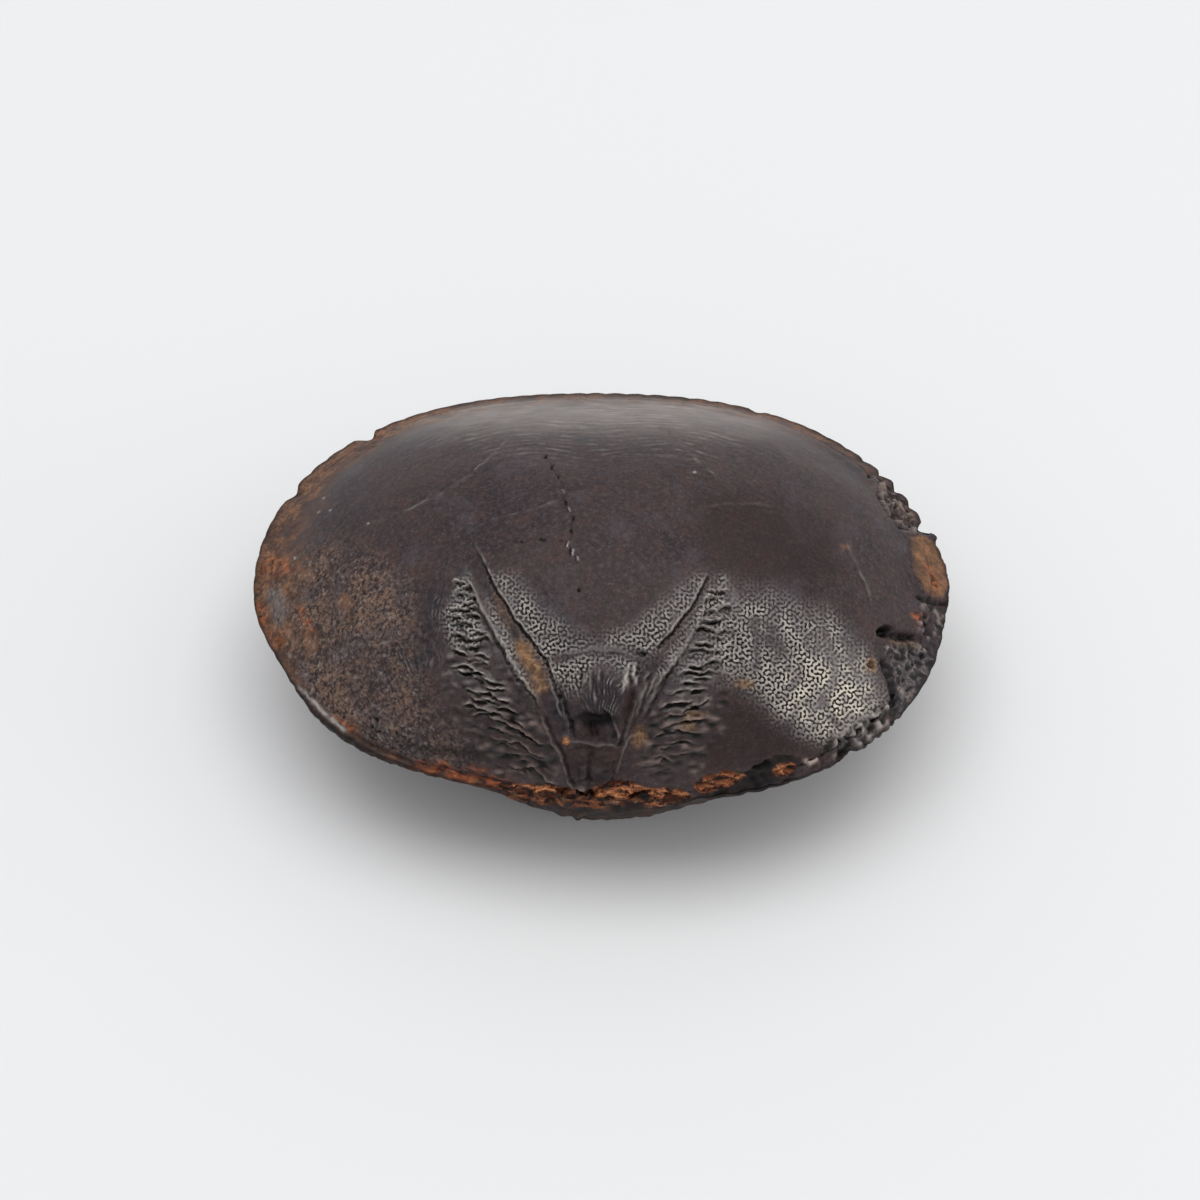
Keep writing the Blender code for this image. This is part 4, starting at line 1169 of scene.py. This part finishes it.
class Finish:
    """A material whose nodes are added by code."""

    def __init__(self, name):
        self.material = bpy.data.materials.new(name)
        self.material.use_nodes = True
        self.tree = self.material.node_tree
        self.shader = self.tree.nodes["Principled BSDF"]
        self.object_place = self.node("ShaderNodeTexCoord", out="Object")

    def node(self, kind, settings=None, sockets=None, out=0):
        """Adds a node of a kind, with its settings first and then the values or links of its sockets."""
        node = self.tree.nodes.new(kind)
        for name, value in (settings or {}).items():
            setattr(node, name, value)
        self.fill(node, sockets or {})
        return Flow(self, node.outputs[out])

    def fill(self, node, sockets):
        for name, value in sockets.items():
            if isinstance(value, Flow):
                self.tree.links.new(value.socket, node.inputs[name])
            else:
                node.inputs[name].default_value = value

    def tint(self, name):
        """A number that was stored on the mesh."""
        return self.node("ShaderNodeAttribute", {"attribute_name": name}, out="Fac")

    def vector(self, operation, first, second, out=0):
        """A sum of two vectors, or another operation on them."""
        return self.node("ShaderNodeVectorMath", {"operation": operation}, {0: first, 1: second}, out)

    def clouds(self, size, detail=3.0, rough=0.55, spot=None):
        """Soft noise from 0 to 1 whose lumps are about this many millimetres across."""
        sockets = {"Vector": spot or self.object_place, "Scale": 1.0 / (size * MM)}
        return self.node("ShaderNodeTexNoise", {}, {**sockets, "Detail": detail, "Roughness": rough})

    def between(self, value, start, end, low=0.0, high=1.0):
        """Maps a value from one span to another, and clamps it."""
        spans = {"From Min": start, "From Max": end, "To Min": low, "To Max": high}
        smooth = {"interpolation_type": "SMOOTHSTEP"}
        return self.node("ShaderNodeMapRange", smooth, {"Value": value, **spans})

    def mix(self, amount, first, second):
        """A colour that goes from the first to the second as amount goes from 0 to 1."""
        return self.node("ShaderNodeMix", {"data_type": "RGBA", "clamp_factor": True},
                         {"Factor": amount, 6: first, 7: second}, out=2)


def shade(red, green, blue):
    """A colour given as it looks on screen, from 0 to 255, turned to light values."""
    seen = np.array((red, green, blue)) / 255
    return (*np.where(seen <= 0.04045, seen / 12.92, ((seen + 0.055) / 1.055) ** 2.4).tolist(), 1.0)


print("ready to mix a finish")

# %% [markdown]
# ## The stone's finish
#
# The stone is a dark purplish brown, satin on the dome and glossy on the labyrinth. Iron has stained
# the rim and the hinge orange. It could be painted on an image, but then it would blur close up. So
# each tint that was stored on the mesh lays one more colour over the stone, and noise breaks its edge
# so that it looks soaked in and not painted on. Some of these tints are painted light: painted shade
# in the grooves, holes and undercuts, and painted highlights on crests, threads, the hinge's walls
# and the front slope's sheen.

# %% Read the tints and mix the noises
stone = Finish("iron_stained_stone")
rust, orange, ochre, umber, pale, hollow, polish, grain, slate, weave, glint = map(stone.tint, TINTS)
big, small, fleck = stone.clouds(4.0, 4.0), stone.clouds(0.9, 5.0, 0.65), stone.clouds(0.24, 3.0, 0.7)
speck = stone.clouds(0.13, 2.0, 0.6)

unseated = stone.vector("SUBTRACT", stone.object_place, seat)
worm = 0.0
for way, shift in worms:
    run = stone.vector("DOT_PRODUCT", unseated, way / MM, out="Value")
    worm = worm + (run + shift).maths("COSINE")
crumbled = 2.2 * (stone.clouds(0.15, 2.0, 0.6) - 0.5)
ridge = stone.between((1 / math.sqrt(WAVE_COUNT / 2)) * worm + crumbled, -0.52, 0.05)

print(len(stone.tree.nodes), "nodes read the tints and the", WAVE_COUNT, "waves")

# %% Colour the bare stone
colour = stone.mix(stone.between(big, 0.35, 0.65), shade(60, 47, 48), shade(46, 37, 40))
colour = stone.mix(0.8 * stone.between(small, 0.45, 0.75), colour, shade(74, 51, 46))
colour = stone.mix(0.6 * stone.between(stone.clouds(2.4, 5.0, 0.6), 0.52, 0.7), colour, shade(72, 65, 70))
colour = stone.mix(0.75 * stone.between(fleck, 0.48, 0.75), colour, shade(84, 72, 70))
colour = stone.mix(0.75 * stone.between(fleck, 0.48, 0.25), colour, shade(28, 22, 23))
colour = stone.mix(0.5 * stone.between(speck, 0.55, 0.8), colour, shade(104, 94, 92))
tan = stone.between(stone.clouds(2.2, 3.0, 0.6), 0.38, 0.58)
brown = stone.mix(stone.between(0.7 * fleck + 0.3 * small, 0.4, 0.6), shade(42, 33, 33),
                  stone.mix(tan, shade(98, 84, 82), shade(136, 106, 86)))
brown = stone.mix(0.8 * stone.between(speck, 0.47, 0.3), brown, shade(18, 14, 14))
brown = stone.mix(0.6 * stone.between(speck, 0.56, 0.75), brown, shade(158, 144, 134))
colour = stone.mix(0.85 * grain, colour, brown)
# Dark brown stone, and painted shade in the recess under the nose and under the lower-left lip.
colour = stone.mix(0.75 * umber, colour, shade(38, 24, 22))
colour = stone.mix(0.75 * slate, colour, shade(32, 32, 42))
# Painted highlight on the labyrinth's threads, brighter and warmer where glint is high, and painted shade
# in the gaps between them.
threads = stone.mix(glint, shade(148, 141, 138), shade(208, 198, 180))
thread = weave * ridge * stone.between(speck + 0.4 * glint, 0.35, 0.7, 0.3, 1.1)
colour = stone.mix(0.95 * thread, colour, threads)
colour = stone.mix(0.95 * weave * (1 - ridge), colour, shade(9, 7, 8))
print(len(stone.tree.nodes), "nodes so far")

# %% Soak the rust in
stain = stone.mix(stone.between(small, 0.35, 0.65), shade(80, 57, 46), shade(144, 102, 74))
stain = stone.mix(0.8 * stone.between(fleck, 0.45, 0.65), stain, shade(48, 38, 36))
wet = 0.7 * (stone.clouds(0.8, 6.0, 0.7) - 0.5)
soaked = stone.between(rust + wet, 0.15, 0.85)
colour = stone.mix(soaked, colour, stain)
embers = stone.clouds(0.4, 4.0, 0.65, stone.vector("MULTIPLY", stone.object_place, (0.5, 1.0, 1.2)))
flame = stone.mix(stone.between(embers, 0.4, 0.57), shade(58, 28, 20), shade(140, 76, 44))
flame = stone.mix(stone.between(embers, 0.57, 0.72), flame, shade(202, 136, 92))
# Painted highlight on the walls between the hinge's holes.
flame = stone.mix(0.75 * glint * stone.between(speck + embers, 0.95, 1.2), flame, shade(208, 146, 100))
flame = stone.mix(0.9 * stone.between(embers, 0.47, 0.37), flame, shade(24, 11, 9))
burnt = stone.between(orange + wet, 0.2, 0.8)
colour = stone.mix(burnt, colour, flame)
golden = stone.mix(stone.between(fleck, 0.4, 0.7), shade(120, 84, 50), shade(190, 150, 106))
colour = stone.mix(0.8 * ochre, colour, golden)
# Pale crystals and specks, and painted highlights on crests, lips, ridges and the front slope.
colour = stone.mix(0.8 * pale, colour, stone.mix(umber, shade(186, 177, 170), shade(140, 114, 104)))
# Painted shade: the grooves, holes, undercuts and the rim's edge turn near black.
colour = stone.mix(0.95 * hollow, colour, shade(9, 7, 7))

print(len(stone.tree.nodes), "nodes so far")

# %% Gloss and fine bumps
roughness = 0.52 - 0.24 * polish + 0.14 * grain + 0.2 * soaked + 0.12 * (small - 0.5) - 0.05 * slate
tooth = 0.6 * fleck + 0.7 * speck + 0.8 * stone.clouds(0.5, 4.0, 0.6) + 1.6 * weave * ridge
bumps = stone.node("ShaderNodeBump", {}, {"Height": tooth, "Distance": 0.03 * MM, "Strength": 1.0})
gloss = 0.8 * polish * (1 - hollow) * (1 - weave * (1 - ridge))
stone.fill(stone.shader, {"Base Color": colour, "Roughness": roughness, "Normal": bumps})
stone.fill(stone.shader, {"Coat Weight": gloss})
stone.fill(stone.shader, {"Metallic": 0.0, "IOR": 1.5, "Specular IOR Level": 0.2, "Coat Roughness": 0.18})
fossil.data.materials.append(stone.material)
print(len(stone.tree.nodes), "nodes in the stone's finish")

# %% [markdown]
# ## The floor
#
# The fossil lies on a plain pale floor, wide enough that its edge is never seen. A matt paper finish
# keeps the shadow soft and shows no reflection.

# %% Floor
FLOOR_SIZE = 1.6
PAPER_WHITE = (0.80, 0.80, 0.80, 1.0)
bpy.ops.object.select_all(action="DESELECT")
bpy.ops.mesh.primitive_plane_add(size=FLOOR_SIZE)
floor = bpy.context.object
floor.name = floor.data.name = "floor"
paper = Finish("pale_floor")
paper.fill(paper.shader, {"Base Color": PAPER_WHITE, "Roughness": 0.9, "Specular IOR Level": 0.1})
floor.data.materials.append(paper.material)
print("a floor", FLOOR_SIZE, "m wide")

# %% [markdown]
# ## Light
#
# A broad light hangs overhead, a little towards the back, which gives the soft shadow and the sheen
# below the dome's top. A second one stands low on the right and makes the flank shine. Soft daylight
# from all round fills the shadows, brighter from above and from the back than from below.

# %% Lights
TARGET = np.array([seat[0] + 0.11 * MM, -0.6 * MM + seat[1], 7.4 * MM + seat[2]])


def softbox(name, direction, height, distance, size, watts, colour):
    """A broad light at an angle round the fossil, a height in degrees and a distance, aimed at it."""
    turn, tilt = math.radians(direction), math.radians(height)
    light = bpy.data.lights.new(name, "AREA")
    light.shape, light.energy, light.color = "RECTANGLE", watts, colour
    light.size, light.size_y = size
    holder = bpy.data.objects.new(name, light)
    bpy.context.collection.objects.link(holder)
    away = np.array([math.cos(turn) * math.cos(tilt), math.sin(turn) * math.cos(tilt), math.sin(tilt)])
    holder.location = TARGET + distance * away
    holder.rotation_euler = (math.pi / 2 - tilt, 0.0, turn + math.pi / 2)
    return holder


softbox("overhead", 90, 88, 0.8, (0.95, 0.65), 3.48, (1.0, 0.995, 0.985))
softbox("right", -8, 12, 0.5, (0.3, 0.22), 0.42, (1.0, 0.97, 0.92))

world = bpy.data.worlds.new("room")
bpy.context.scene.world = world
world.use_nodes = True
sky = world.node_tree.nodes
background = sky["Background"]
direction, facing = sky.new("ShaderNodeTexCoord"), sky.new("ShaderNodeVectorMath")
facing.operation = "DOT_PRODUCT"
facing.inputs[1].default_value = (0.0, 0.45, 0.9)
strength = sky.new("ShaderNodeMapRange")
for name, value in (("From Min", -0.4), ("From Max", 1.0), ("To Min", 0.46), ("To Max", 0.77)):
    strength.inputs[name].default_value = value
world.node_tree.links.new(direction.outputs["Generated"], facing.inputs[0])
world.node_tree.links.new(facing.outputs["Value"], strength.inputs["Value"])
world.node_tree.links.new(strength.outputs["Result"], background.inputs["Strength"])
background.inputs["Color"].default_value = (0.95, 0.97, 1.0, 1.0)
bpy.context.scene.view_settings.view_transform = "Standard"
print(len(bpy.data.lights), "lights and a room")

# %% [markdown]
# ## Camera
#
# The camera looks down at 48 degrees from the beak's side. A long lens from 20 cm away draws the
# fossil with little perspective, as a photograph of a small thing is usually taken.

# %% Camera
DISTANCE = 0.2  # m
FOCAL_LENGTH = 110.0  # mm
NEAR_LIMIT = 0.01  # m, nearer than any part of the fossil
lens = bpy.data.cameras.new("camera")
lens.lens = FOCAL_LENGTH
lens.clip_start = NEAR_LIMIT
camera = bpy.data.objects.new("camera", lens)
bpy.context.collection.objects.link(camera)
camera.location = TARGET + DISTANCE * np.array([0.0, -math.cos(FACING), math.sin(FACING)])
camera.rotation_euler = (math.pi / 2 - FACING, 0.0, 0.0)
bpy.context.scene.camera = camera
print("camera at", [round(float(value), 3) for value in camera.location], "m")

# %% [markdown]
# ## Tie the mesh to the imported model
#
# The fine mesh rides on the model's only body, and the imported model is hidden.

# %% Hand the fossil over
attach(fossil, "root")
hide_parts("brachiopod_fossil")
